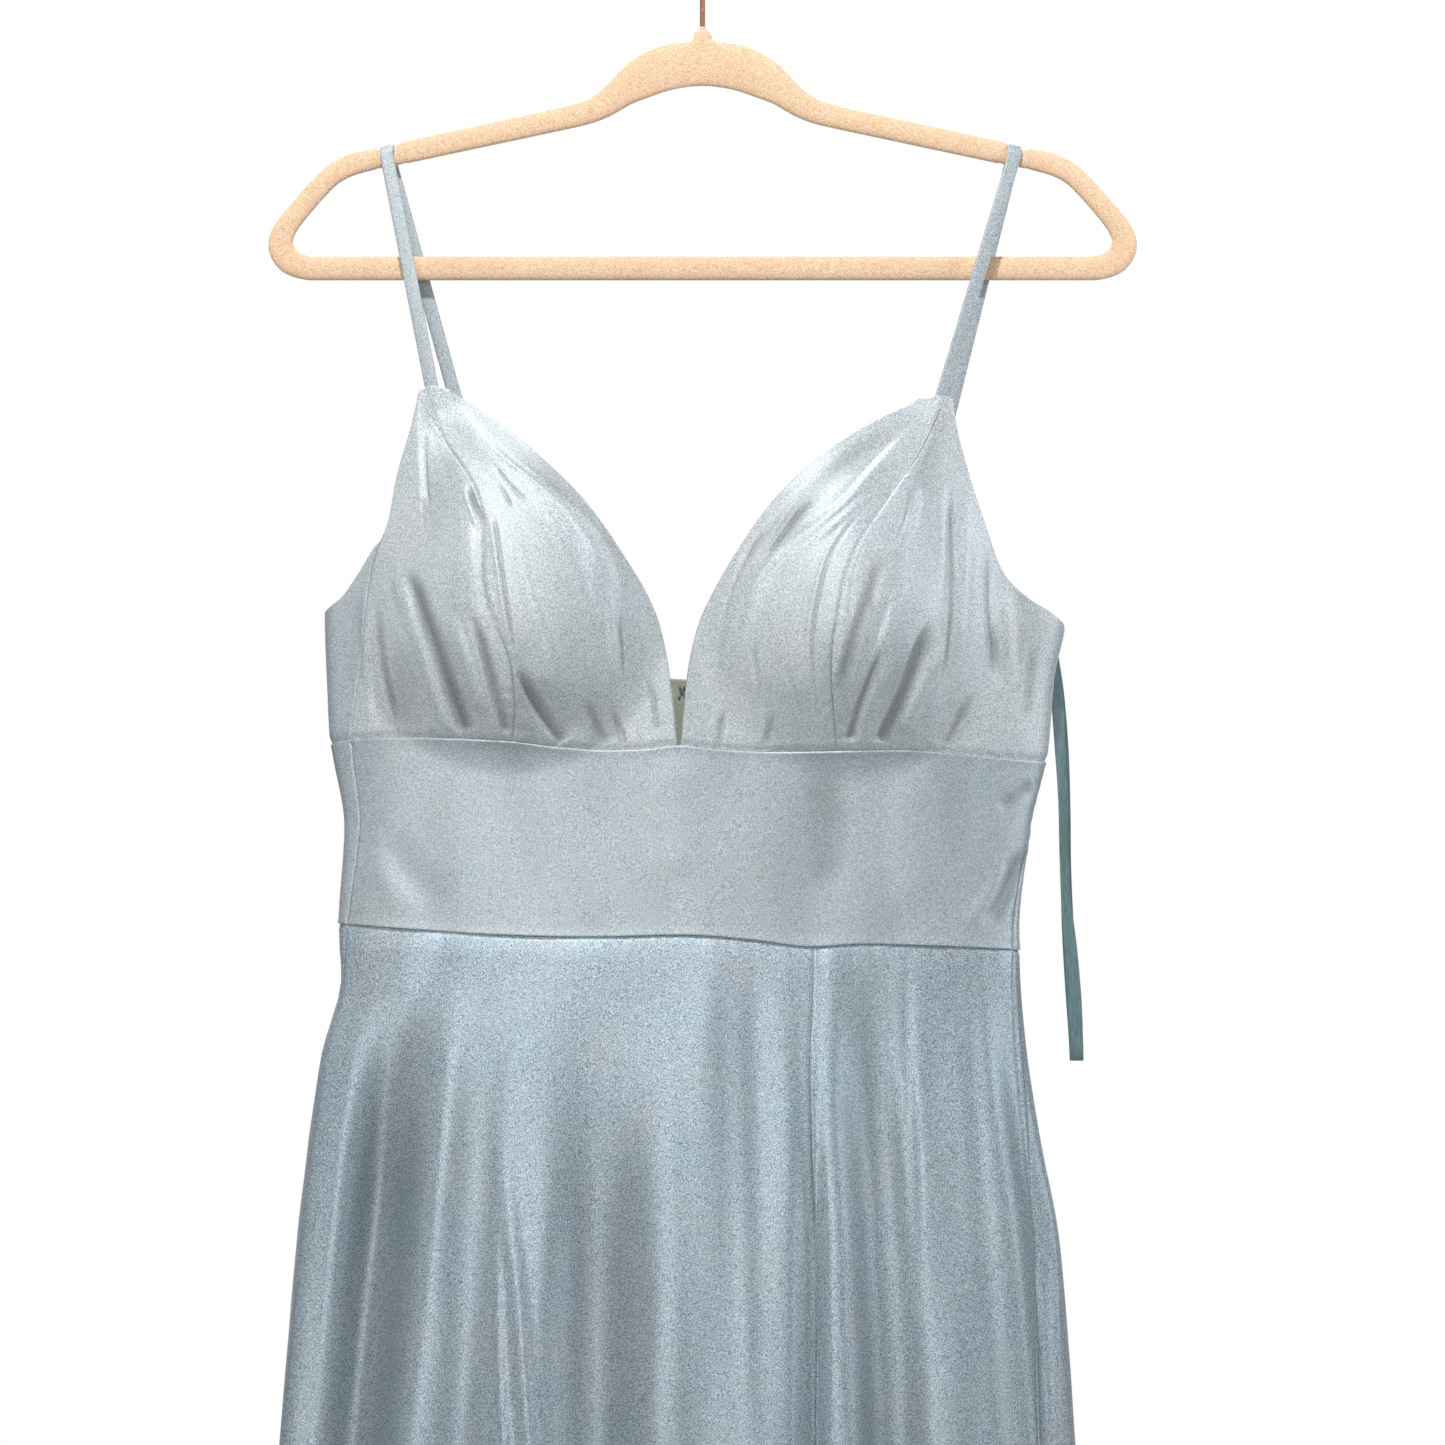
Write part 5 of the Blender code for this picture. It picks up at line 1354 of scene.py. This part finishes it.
def strap_line(strap):
    behind = WALL + CAD_GAP + STRAP_THICK / 2
    over = HANGER_THICK / 2 + CAD_GAP + STRAP_THICK / 2 + STRAP_LOOSE
    angle = float(angle_of(strap.front_x, strap.front_drop))
    seat = surface(angle, strap.front_drop) - outward(angle, strap.front_drop) * behind
    turn_drop = NOTCH_TOP - CAD_GAP - STRAP_THICK / 2 + over
    top_front = np.array([strap.notch_x, -over, -turn_drop])
    top_back = np.array([strap.notch_x - strap.side * STRAP_SHIFT, over, -turn_drop])
    edge = float((back_top_right if strap.side < 0 else back_top_left)(strap.back_angle))
    back_seat, back_rim = (
        surface(strap.back_angle, d) - outward(strap.back_angle, d) * (behind + STRAP_LOOSE)
        for d in (edge + STRAP_TUCK, edge - STRAP_ABOVE_RIM)
    )
    lean = math.radians(STRAP_LEAN)
    level = np.array([math.cos(lean), 0, -strap.side * math.sin(lean)])
    at_front, at_back = surface_across(angle, strap.front_drop), surface_across(strap.back_angle, edge)
    t = np.linspace(0, 1, 45)[:, None]
    front, front_across = mix(seat, top_front, t), mix(at_front, level, ease(t))
    turn = math.pi * np.linspace(0, 1, 22)[1:-1]
    bend = np.stack([mix(top_front[0], top_back[0], turn / math.pi), -over * np.cos(turn),
                     -turn_drop + over * np.sin(turn)], -1)
    back, back_across = mix(top_back, back_rim, t), mix(level, at_back, ease(t))
    path = np.vstack([front, bend, back, back_seat[None]])
    across = np.vstack([front_across, np.tile(level, (len(bend), 1)), back_across, at_back[None]])
    return path, across


for strap in STRAPS:
    path, across = strap_line(strap)
    piece = swept(strap.node + "_satin", path, across, flat_section(STRAP_WIDTH, STRAP_THICK), strap_satin_painted_darker)
    sew_on(piece, [strap.node])

# %% [markdown]
# The hanging loop is one ribbon folded double. It hangs from the back's edge at the wearer's left
# underarm, where someone dressing the hanger left it outside.

# %% Hang the ribbon loop
RIBBON_WIDTH, RIBBON_THICK = 7.0, 0.55
# Each row is x, y and drop, and how far the ribbon's width has turned from +X, in degrees.
HANGING_LOOP = [
    (167, 3.1, 424, 0), (169.2, 2.6, 412, 0), (170.4, 3.2, 407, 0), (171.8, 5.0, 405, 0),
    (173.6, 7.0, 405.6, 0), (175.4, 8.0, 410, 0), (178.2, 8.2, 421, 4), (181.2, 8.2, 440, 18),
    (183.0, 8.0, 469, 36), (184.4, 7.8, 495, 44), (184.7, 7.6, 520, 50), (186, 7.2, 546, 42),
    (188.4, 7.0, 571, 20), (190.4, 7.0, 597, 4), (191.2, 7.2, 617, -4), (191.4, 8.0, 625, -4),
    (191.4, 9.6, 627.6, -4), (191.3, 11.1, 625, -4), (190.6, 11.6, 612, -2), (188.6, 11.6, 585, 12),
    (187, 11.9, 560, 26), (185.9, 12.4, 530, 34), (185.4, 12.6, 500, 30), (184.2, 12.4, 470, 20),
    (181.6, 12.0, 440, 8), (178, 11.6, 417, 0), (175.8, 10.4, 406, 0), (173.6, 7.6, 402.2, 0),
    (171.2, 4.2, 401.8, 0), (169.2, 1.2, 405, 0), (168.2, 0.6, 412, 0), (166.5, 1.0, 424, 0),
]
loop = through(HANGING_LOOP, 6) * [1, 1, -1, 1]
turns = np.radians(loop[:, 3])
loop_across = np.stack([np.cos(turns), np.sin(turns), 0 * turns], -1)
ribbon_section = flat_section(RIBBON_WIDTH, RIBBON_THICK, 16)
ribbon_loop = swept("hanging_loop_ribbon", loop[:, :3], loop_across, ribbon_section, ribbon)
sew_on(ribbon_loop, ["hanging_loop"])

# %% [markdown]
# ## The hanger
# The hanger is moulded in one bar and flocked all over. Its section is a soft rounded oblong whose width
# changes along the bar, so it is swept round a closed loop of stations, and the notches for the straps
# are simply stations where the bar is narrower.

# %% Mould the hanger
# Each row is x, drop and width, and 1 where the bar runs on in a curve, or 0 where it is straight.
HANGER_STATIONS = [
    (0, 118.2, 22.8, 1), (10, 118.9, 22.9, 1), (21, 121.2, 22.8, 1), (33, 126.9, 20.2, 1),
    (41.5, 132.7, 15.9, 1), (50.3, 139.2, 13.2, 1), (60, 143.5, 11.9, 0), (70, 146, 11.5, 0),
    (152.4, 163.7, 11.2, 0), (154.4, 165.1, 8.9, 0), (165.4, 167.3, 8.9, 0), (167.3, 166.9, 10.4, 0),
    (177, 169.1, 11, 1), (190, 175.8, 10.6, 1), (205.5, 192.6, 10.6, 1), (213.4, 203, 11.6, 1),
    (215.4, 211.6, 13, 1), (210.6, 219.4, 13, 1), (200, 222.8, 12.2, 0), (188, 222.8, 12.2, 0),
    (0, 222.8, 12.2, 0),
]


MIRRORED = np.array([-1, 1, 1])


def upright(x, z):
    """Points in the plane of the hanger."""
    return np.stack([x, 0 * x, z], -1)


def with_middles(values, curved):
    """The stations, with one more in each stretch: on a smooth curve, or on a straight line."""
    full, kinds = [], []
    before_first, after_last = values[1] * MIRRORED, values[-2] * MIRRORED
    for k in range(len(values) - 1):
        full.append(values[k])
        middle = (values[k] + values[k + 1]) / 2
        if curved[k]:
            outer = (values[k - 1] if k else before_first) + (
                values[k + 2] if k + 2 < len(values) else after_last)
            middle = (values[k] + values[k + 1]) * 9 / 16 - outer / 16
        full.append(middle)
        kinds += [curved[k], curved[k]]
    return full + [values[-1]], kinds + [curved[-1]]


half = [np.array(row[:3], float) for row in HANGER_STATIONS]
curved = [row[3] for row in HANGER_STATIONS]
for _ in range(3):
    half, curved = with_middles(half, curved)
bar = np.array(half + [v * MIRRORED for v in half[-2:0:-1]])
bar_path = upright(bar[:, 0], -bar[:, 1])
BAR_SIDES = 28
turn = 2 * np.pi * (np.arange(BAR_SIDES) + 0.5) / BAR_SIDES
bar_wide = signed_power(np.cos(turn), 0.9)[None, :] * bar[:, 2:3] / 2
bar_deep = signed_power(np.sin(turn), 0.7)[None, :] * (HANGER_THICK / 2) + 0 * bar_wide
bar_along = np.roll(bar_path, -1, 0) - np.roll(bar_path, 1, 0)
bar_across = upright(-bar_along[:, 2], bar_along[:, 0])
hanger_bar = swept("hanger_bar", bar_path, bar_across, (bar_wide, bar_deep), flock, closed=True)
sew_on(hanger_bar, ["hanger_body"])

# %% [markdown]
# The neck is turned, like a small bottle, with a foot that runs out on the arch. A profile swept round
# would do, but the hanger is thin, so the neck is flattened in front and behind.


# %% Turn the neck
def turned(name, profile, material, deepest, sides=40):
    """A turned shape from (radius, height) pairs, closed at both ends and flattened past a depth."""
    around = 2 * np.pi * np.arange(sides) / sides
    rings = [
        np.stack([r * np.cos(around), min(r, deepest) * np.sin(around), h + 0 * around], -1)
        for r, h in profile
    ]
    points = np.vstack(rings + [np.array([[0, 0, profile[0][1]], [0, 0, profile[-1][1]]])])
    faces = ring_faces(len(profile), sides)
    first, last = len(profile) * sides, (len(profile) - 1) * sides
    for c in range(sides):
        faces.append((first, (c + 1) % sides, c))
        faces.append((first + 1, last + c, last + (c + 1) % sides))
    return smooth_solid(name, points, faces, material, 60)


NECK_RADII = [(-112.0, 9.5), (-108.2, 9.0), (-107.3, 7.0), (-106.5, 5.6), (-105.4, 4.8), (-103.6, 4.4),
              (-102.5, 3.8), (-101.7, 2.8), (-101.0, 2.0), (-100.0, 1.6), (-99.2, 1.4)]
NECK_HALF_DEPTH = 2.55
neck_radius = smooth_curve(NECK_RADII)
neck_heights = np.linspace(NECK_RADII[0][0], NECK_RADII[-1][0], 48)
neck_profile = [(float(neck_radius(h)), float(h)) for h in neck_heights]
sew_on(turned("hanger_collar", neck_profile, flock, NECK_HALF_DEPTH), ["hanger_neck"])

# %% [markdown]
# The hook is a bent wire: a stem, a bow to one side and most of a circle over the rod, with its end
# rounded off. A cubic curve makes the bow, so it leaves the stem and meets the circle without a kink.

# %% Bend the hook
HOOK_WIRE, HOOK_RADIUS, NECK_TOP = 2.6, 20.0, 101.4
HOOK_START, HOOK_END = math.radians(-38), math.radians(196)
BOW_DROP, BOW_PULL = 16, 13.0
WIRE_SIDES = 20
bow_radius = HOOK_RADIUS + HOOK_WIRE / 2
stem_top = HOOK_RADIUS + bow_radius + BOW_DROP
arc = np.linspace(HOOK_START, HOOK_END, 72)
crook = upright(bow_radius * np.cos(arc), -HOOK_RADIUS + bow_radius * np.sin(arc))
join, stem = crook[0], np.array([0, 0, -stem_top])
backwards = np.array([-math.sin(HOOK_START), 0, math.cos(HOOK_START)])
pull_up, pull_in = stem + [0, 0, BOW_PULL], join - backwards * BOW_PULL
t = np.linspace(0, 1, 24)[1:-1, None]
bow = stem * (1 - t) ** 3 + pull_up * 3 * t * (1 - t) ** 2 + pull_in * 3 * t * t * (1 - t) + join * t**3
stem_line = upright(np.zeros(20), -np.linspace(NECK_TOP - CAD_GAP, stem_top, 20))
wire_path = np.vstack([stem_line, bow, crook])
ends = np.ones(len(wire_path))
ends[-4:] = [0.97, 0.87, 0.68, 0.3]
around = 2 * np.pi * np.arange(WIRE_SIDES) / WIRE_SIDES
wire_section = [ends[:, None] * ring * HOOK_WIRE / 2 for ring in (np.cos(around), np.sin(around))]
wire_along = np.gradient(wire_path, axis=0)
wire_across = upright(-wire_along[:, 2], wire_along[:, 0])
hook_wire = swept("hook_bent_wire", wire_path, wire_across, wire_section, copper)
sew_on(hook_wire, ["hook"])

# %% [markdown]
# ## The zip
# A concealed zip closes the gown's centre back. From outside only its slider and pull tab show. Inside,
# the tape is a woven strip with its coil folded to the middle. The tape is a wall like the panels, on the
# same surface, moved inwards.

# %% Weave the zip's tape
ZIP_TAPE_THICK, ZIP_TAPE_GAP = 0.8, 0.55


def zip_grid(depth, half_width, columns, step):
    """Points of a strip along the centre back, a given depth under the cloth's outer face."""
    drop = np.arange(ZIP_BOTTOM, ZIP_TOP - 0.1, -step)[:, None]
    middle = back_middle(drop)
    places = np.linspace(-half_width, half_width, columns)[None, :]
    angle = middle + places / mm_per_degree(middle, drop)
    drop = drop + 0 * angle
    return surface(angle, drop) - outward(angle, drop) * depth, outward(angle, drop)


tape_top = WALL + ZIP_TAPE_GAP
half_tape = ZIP_TAPE_WIDTH / 2
tape_outer, _ = zip_grid(tape_top, half_tape, 25, 2)
tape_inner, _ = zip_grid(tape_top + ZIP_TAPE_THICK, half_tape, 25, 2)
sew_on(shell("zip_tape_woven", tape_outer, tape_inner, tape, tape), ["zip_tape"])

# %% [markdown]
# The slider is a small cast plate with an arch, and the pull tab swings on the arch. Both are bevelled:
# a flat outline is given a thickness and a round edge, as stamping and tumbling leave it. A filled 2D
# curve with a bevel does this, and also cuts the holes.


# %% Define plates with rounded edges
def stamped(name, outlines, thick, round_edge, place, material):
    """A plate in the XZ plane from flat outlines, the first round it and the others its holes."""
    curve = bpy.data.curves.new(name, "CURVE")
    curve.dimensions = "2D"
    curve.fill_mode = "BOTH"
    curve.extrude = (thick / 2 - round_edge) * MM
    curve.bevel_depth = round_edge * MM
    curve.bevel_resolution = 2
    curve.offset = -round_edge * MM
    for outline in outlines:
        spline = curve.splines.new("POLY")
        spline.points.add(len(outline) - 1)
        for point, (x, z) in zip(spline.points, outline):
            point.co = (x * MM, z * MM, 0, 1)
        spline.use_cyclic_u = True
    flat = placed(name, curve)
    mesh = bpy.data.meshes.new_from_object(flat.evaluated_get(bpy.context.evaluated_depsgraph_get()))
    bpy.data.objects.remove(flat)
    work = bmesh.new()
    for v in mesh.vertices:
        work.verts.new(Vector((v.co.x, -v.co.z, v.co.y)) + Vector(place) * MM)
    work.verts.ensure_lookup_table()
    for face in mesh.polygons:
        work.faces.new([work.verts[i] for i in face.vertices])
    bmesh.ops.remove_doubles(work, verts=work.verts, dist=1e-6)
    bmesh.ops.recalc_face_normals(work, faces=work.faces)
    made = placed_work(name, work)
    made.data.materials.append(material)
    made.data.shade_smooth()
    made.data.set_sharp_from_angle(angle=math.radians(40))
    return made


def plate_outline(right, radius, steps=5):
    """A flat outline from its right-hand corners, mirrored to the left, with each corner rounded."""
    left = [(-x, z) for x, z in right]
    corners = left[:1] + right + left[:0:-1]
    outline = []
    for k, (x, z) in enumerate(corners):
        here = Vector((x, z))
        before, after = Vector(corners[k - 1]) - here, Vector(corners[(k + 1) % len(corners)]) - here
        cut = min(radius, before.length / 2.2, after.length / 2.2)
        a, b = here + before.normalized() * cut, here + after.normalized() * cut
        for n in range(steps + 1):
            t = n / steps
            outline.append(tuple(a * (1 - t) ** 2 + here * 2 * t * (1 - t) + b * t * t))
    return outline


def joined(name, pieces):
    """One object from several with the same finish."""
    work = bmesh.new()
    for piece in pieces:
        work.from_mesh(piece.data)
    made = placed_work(name, work)
    made.data.materials.append(pieces[0].data.materials[0])
    for piece in pieces:
        bpy.data.objects.remove(piece)
    return made


# %% [markdown]
# The slider stands on the seam at the zip's closed end. The tab hangs from the arch by its top bar, and
# its hole is larger than the arch, so it can swing up.

# %% Cast the slider and its pull
SLIDER_DROP, SLIDER_WIDTH, SLIDER_LENGTH, SLIDER_THICK = 442.0, 3.4, 9.0, 0.9
ARCH_WIDTH, ARCH_LENGTH, ARCH_HOLE_HEIGHT, ARCH_THICK = 1.6, 6.0, 2.0, 0.8
PULL_WIDTH, PULL_LENGTH, PULL_THICK, PULL_CLEARANCE, PIN = 5.8, 21.0, 0.9, 4.3, 0.9

half_slider, half_length = SLIDER_WIDTH / 2, SLIDER_LENGTH / 2
lowest = SLIDER_DROP + half_length
seat = surface(back_middle(lowest), lowest) + np.array([0, CAD_GAP, 0])
seat[2] = -SLIDER_DROP
base_outline = plate_outline([(half_slider, half_length), (half_slider, 0.5), (1.25, -half_length)], 1.1)
base_place = tuple(seat + [0, SLIDER_THICK / 2, 0])
base = stamped("slider_base", [base_outline], SLIDER_THICK, 0.3, base_place, lacquer)
arch_half, arch_top = ARCH_LENGTH / 2 - 0.5, SLIDER_THICK + ARCH_HOLE_HEIGHT + 0.45
arch_end = [
    (SLIDER_THICK - 0.4, arch_half), (arch_top - 1.1, arch_half), (arch_top - 0.25, arch_half - 0.55),
    (arch_top, arch_half - 1.5),
]
arch_line = through([(0, y, -z) for y, z in arch_end] + [(0, y, z) for y, z in arch_end[::-1]], 4)
arch = swept("slider_arch", arch_line + seat, np.tile([1.0, 0, 0], (len(arch_line), 1)),
             flat_section(ARCH_WIDTH, ARCH_THICK, 16), lacquer)
sew_on(joined("zip_slider_cast", [base, arch]), ["zip_slider"])

pin = seat + np.array([0, SLIDER_THICK + ARCH_HOLE_HEIGHT / 2, 0])
half_pull, half_hole = PULL_WIDTH / 2, ARCH_WIDTH / 2 + 0.35
tab_outlines = [
    plate_outline([(half_pull, PIN / 2), (half_pull, -PULL_LENGTH + 7), (1.9, -PULL_LENGTH)], 1.4),
    plate_outline([(half_hole, -PIN / 2), (half_hole, -PULL_CLEARANCE)], 0.5),
    plate_outline([(0.8, -14), (0.8, -18.4)], 0.8),
]
tab = stamped("zip_pull_tab", tab_outlines, PULL_THICK, 0.22, tuple(pin), lacquer)
sew_on(tab, ["zip_pull"], "pull")

# %% [markdown]
# ## Stitches and teeth
# Stitches and zip teeth repeat by the hundred. A small Geometry Nodes group sets one rounded bead after
# another along lines, turned along the line and standing on the cloth. Its named inputs give the pitch,
# the bead's half sizes, how far it stands off and its material. The result is turned into a plain mesh.


# %% Build the node group that sews
def sewing_group():
    group = bpy.data.node_groups.new("beads along lines", "GeometryNodeTree")
    for way, name, kind in (
        ("INPUT", "Geometry", "Geometry"), ("INPUT", "Pitch", "Float"), ("INPUT", "Half sizes", "Vector"),
        ("INPUT", "Stand off", "Float"), ("INPUT", "Material", "Material"),
        ("OUTPUT", "Geometry", "Geometry"),
    ):
        group.interface.new_socket(name, in_out=way, socket_type="NodeSocket" + kind)

    def add(kind, **settings):
        node = group.nodes.new(kind)
        for key, value in settings.items():
            setattr(node, key, value)
        return node

    start, end = add("NodeGroupInput"), add("NodeGroupOutput")
    out = add("GeometryNodeInputNamedAttribute", data_type="FLOAT_VECTOR")
    out.inputs["Name"].default_value = "out"
    curve = add("GeometryNodeMeshToCurve")
    even = add("GeometryNodeResampleCurve", mode="LENGTH")
    lift = add("ShaderNodeVectorMath", operation="SCALE")
    stand = add("GeometryNodeSetPosition")
    tangent = add("GeometryNodeInputTangent")
    along = add("FunctionNodeAlignRotationToVector", axis="X")
    turned_up = add("FunctionNodeAlignRotationToVector", axis="Z", pivot_axis="X")
    bead = add("GeometryNodeMeshUVSphere")
    for key, value in (("Segments", 6), ("Rings", 4), ("Radius", 1.0)):
        bead.inputs[key].default_value = value
    smooth = add("GeometryNodeSetShadeSmooth")
    place = add("GeometryNodeInstanceOnPoints")
    real = add("GeometryNodeRealizeInstances")
    paint = add("GeometryNodeSetMaterial")
    for source, output, target, socket in (
        (start, "Geometry", curve, "Mesh"), (curve, "Curve", even, "Curve"),
        (start, "Pitch", even, "Length"), (out, "Attribute", lift, "Vector"),
        (start, "Stand off", lift, "Scale"), (even, "Curve", stand, "Geometry"),
        (lift, "Vector", stand, "Offset"), (tangent, "Tangent", along, "Vector"),
        (along, "Rotation", turned_up, "Rotation"), (out, "Attribute", turned_up, "Vector"),
        (stand, "Geometry", place, "Points"), (bead, "Mesh", smooth, "Geometry"),
        (smooth, "Geometry", place, "Instance"), (turned_up, "Rotation", place, "Rotation"),
        (start, "Half sizes", place, "Scale"), (place, "Instances", real, "Geometry"),
        (real, "Geometry", paint, "Geometry"), (start, "Material", paint, "Material"),
        (paint, "Geometry", end, "Geometry"),
    ):
        group.links.new(source.outputs[output], target.inputs[socket])
    return group


SEWING = sewing_group()
print("the sewing group has", len(SEWING.nodes), "nodes")

# %% [markdown]
# Stitches and teeth are small beads in rows along a seam. Each could be placed by hand, but a line of
# points with a direction off the cloth is enough, because the node group sets beads along it at an even
# pitch.


# %% Define rows of beads
def beads(name, lines, pitch_mm, half_sizes_mm, off_mm, material):
    """Beads along lines, which are pairs of points and outward directions, as one plain mesh."""
    points = np.concatenate([line for line, _ in lines])
    outs = np.concatenate([out for _, out in lines])
    edges, first = [], 0
    for line, _ in lines:
        edges += [(first + k, first + k + 1) for k in range(len(line) - 1)]
        first += len(line)
    mesh = bpy.data.meshes.new(name)
    mesh.from_pydata((points * MM).tolist(), edges, [])
    mesh.attributes.new("out", "FLOAT_VECTOR", "POINT").data.foreach_set("vector", outs.ravel())
    made = placed(name, mesh)
    step = made.modifiers.new("sewing", "NODES")
    step.node_group = SEWING
    values = {"Pitch": pitch_mm * MM, "Half sizes": [v * MM for v in half_sizes_mm],
              "Stand off": off_mm * MM, "Material": material}
    for socket in SEWING.interface.items_tree:
        if socket.in_out == "INPUT" and socket.name in values:
            step[socket.identifier] = values[socket.name]
    made.update_tag()
    plain = bpy.data.meshes.new_from_object(made.evaluated_get(bpy.context.evaluated_depsgraph_get()))
    made.modifiers.remove(step)
    made.data = plain
    return made


# %% [markdown]
# The hem is turned and stitched 6 mm above its edge all round. Inside, two rows hold the zip's tape, the
# coil's teeth run down its middle, and two short bars of stitches hold each strap's end.


# %% Sew the hem, the tape and the strap ends
def row_above_hem(node, height):
    """A line on a panel's outer face at a height above its bottom edge, from its grid."""
    outer, out, up = cloth_grids[node]
    share = np.stack([np.interp(height, up[:, c], np.arange(len(up))) for c in range(up.shape[1])])
    row, part = share.astype(int), (share % 1)[:, None]
    column = np.arange(up.shape[1])
    line = mix(outer[row, column], outer[row + 1, column], part)
    return line[3:-3], out[row, column][3:-3]


def stitched(name, lines):
    """Rows of running stitches, each 2.1 mm long and 2.9 mm from the next."""
    sew_on(beads(name, lines, 2.9, (1.05, 0.2, 0.16), 0.05, thread))


HEM_HEIGHT = 6.0
stitched("hem_stitches", [row_above_hem(cut.node, HEM_HEIGHT) for cut in SKIRT_PANELS])

tape_back = tape_top + ZIP_TAPE_THICK
tape_face, tape_out = zip_grid(tape_back, half_tape - 3, 3, 4)
stitched("zip_tape_stitches", [(tape_face[:, c], -tape_out[:, c]) for c in (0, 2)])
coil_face, coil_out = zip_grid(tape_back, 0.75, 2, 4)
coil_rows = [(coil_face[2:, c], -coil_out[2:, c]) for c in (0, 1)]
sew_on(beads("zip_coil_teeth", coil_rows, 1.25, (0.42, 0.95, 0.5), 0.35, teeth_plastic))

tack_lines = []
for strap in STRAPS:
    angle = float(angle_of(strap.front_x, strap.front_drop))
    for depth in (3.0, 5.5):
        out = outward(angle, strap.front_drop + depth)
        middle = surface(angle, strap.front_drop + depth) - out * (WALL + CAD_GAP + STRAP_THICK)
        side = surface_across(angle, strap.front_drop + depth)
        tack_lines.append((middle + np.linspace(-3, 3, 5)[:, None] * side, np.tile(-out, (5, 1))))
sew_on(beads("strap_bar_tacks", tack_lines, 1.1, (0.5, 0.22, 0.18), 0.05, thread))

# %% [markdown]
# A small hook and eye closes the top of the back above the zip. It is bent from thin nickel wire and sewn
# to the inside of the back, where it shows through the bottom of the V.

# %% Bend the hook and eye
HOOK_AND_EYE_X, HOOK_AND_EYE_DROP = -10.6, 439.5
eye_angle = 180 - float(angle_of(HOOK_AND_EYE_X, HOOK_AND_EYE_DROP)) - 360
eye_out = outward(eye_angle, HOOK_AND_EYE_DROP)
eye_seat = surface(eye_angle, HOOK_AND_EYE_DROP) - eye_out * (WALL + 0.55)
eye_across, eye_up = np.array([1.0, 0, 0]), np.array([0, 0, 1.0])
EYE_LEFT = [(-1.0, -2.2), (-1.7, -2.6), (-1.8, -1.8), (-1.0, -1.5), (-0.9, 0.2), (-0.6, 1.2), (0, 1.6)]
HOOK_LEFT = [(-0.6, 3.4), (-1.3, 3.7), (-1.3, 2.9), (-0.45, 2.6), (-0.4, 1.0), (0, 0.5)]
FIGURE_WIRE = 0.5


def wire_figure(name, left, off):
    """A bent wire from the left half of its line, which ends in its middle."""
    figure = left + [(-a, b) for a, b in left[-2::-1]]
    line = through([eye_seat - eye_out * off + eye_across * a + eye_up * b for a, b in figure], 5)
    section = flat_section(FIGURE_WIRE, FIGURE_WIRE, 8)
    return swept(name, line, np.tile(eye_out, (len(line), 1)), section, nickel)


figures = [wire_figure("eye", EYE_LEFT, 0.0), wire_figure("hook", HOOK_LEFT, 0.55)]
sew_on(joined("hook_and_eye", figures))
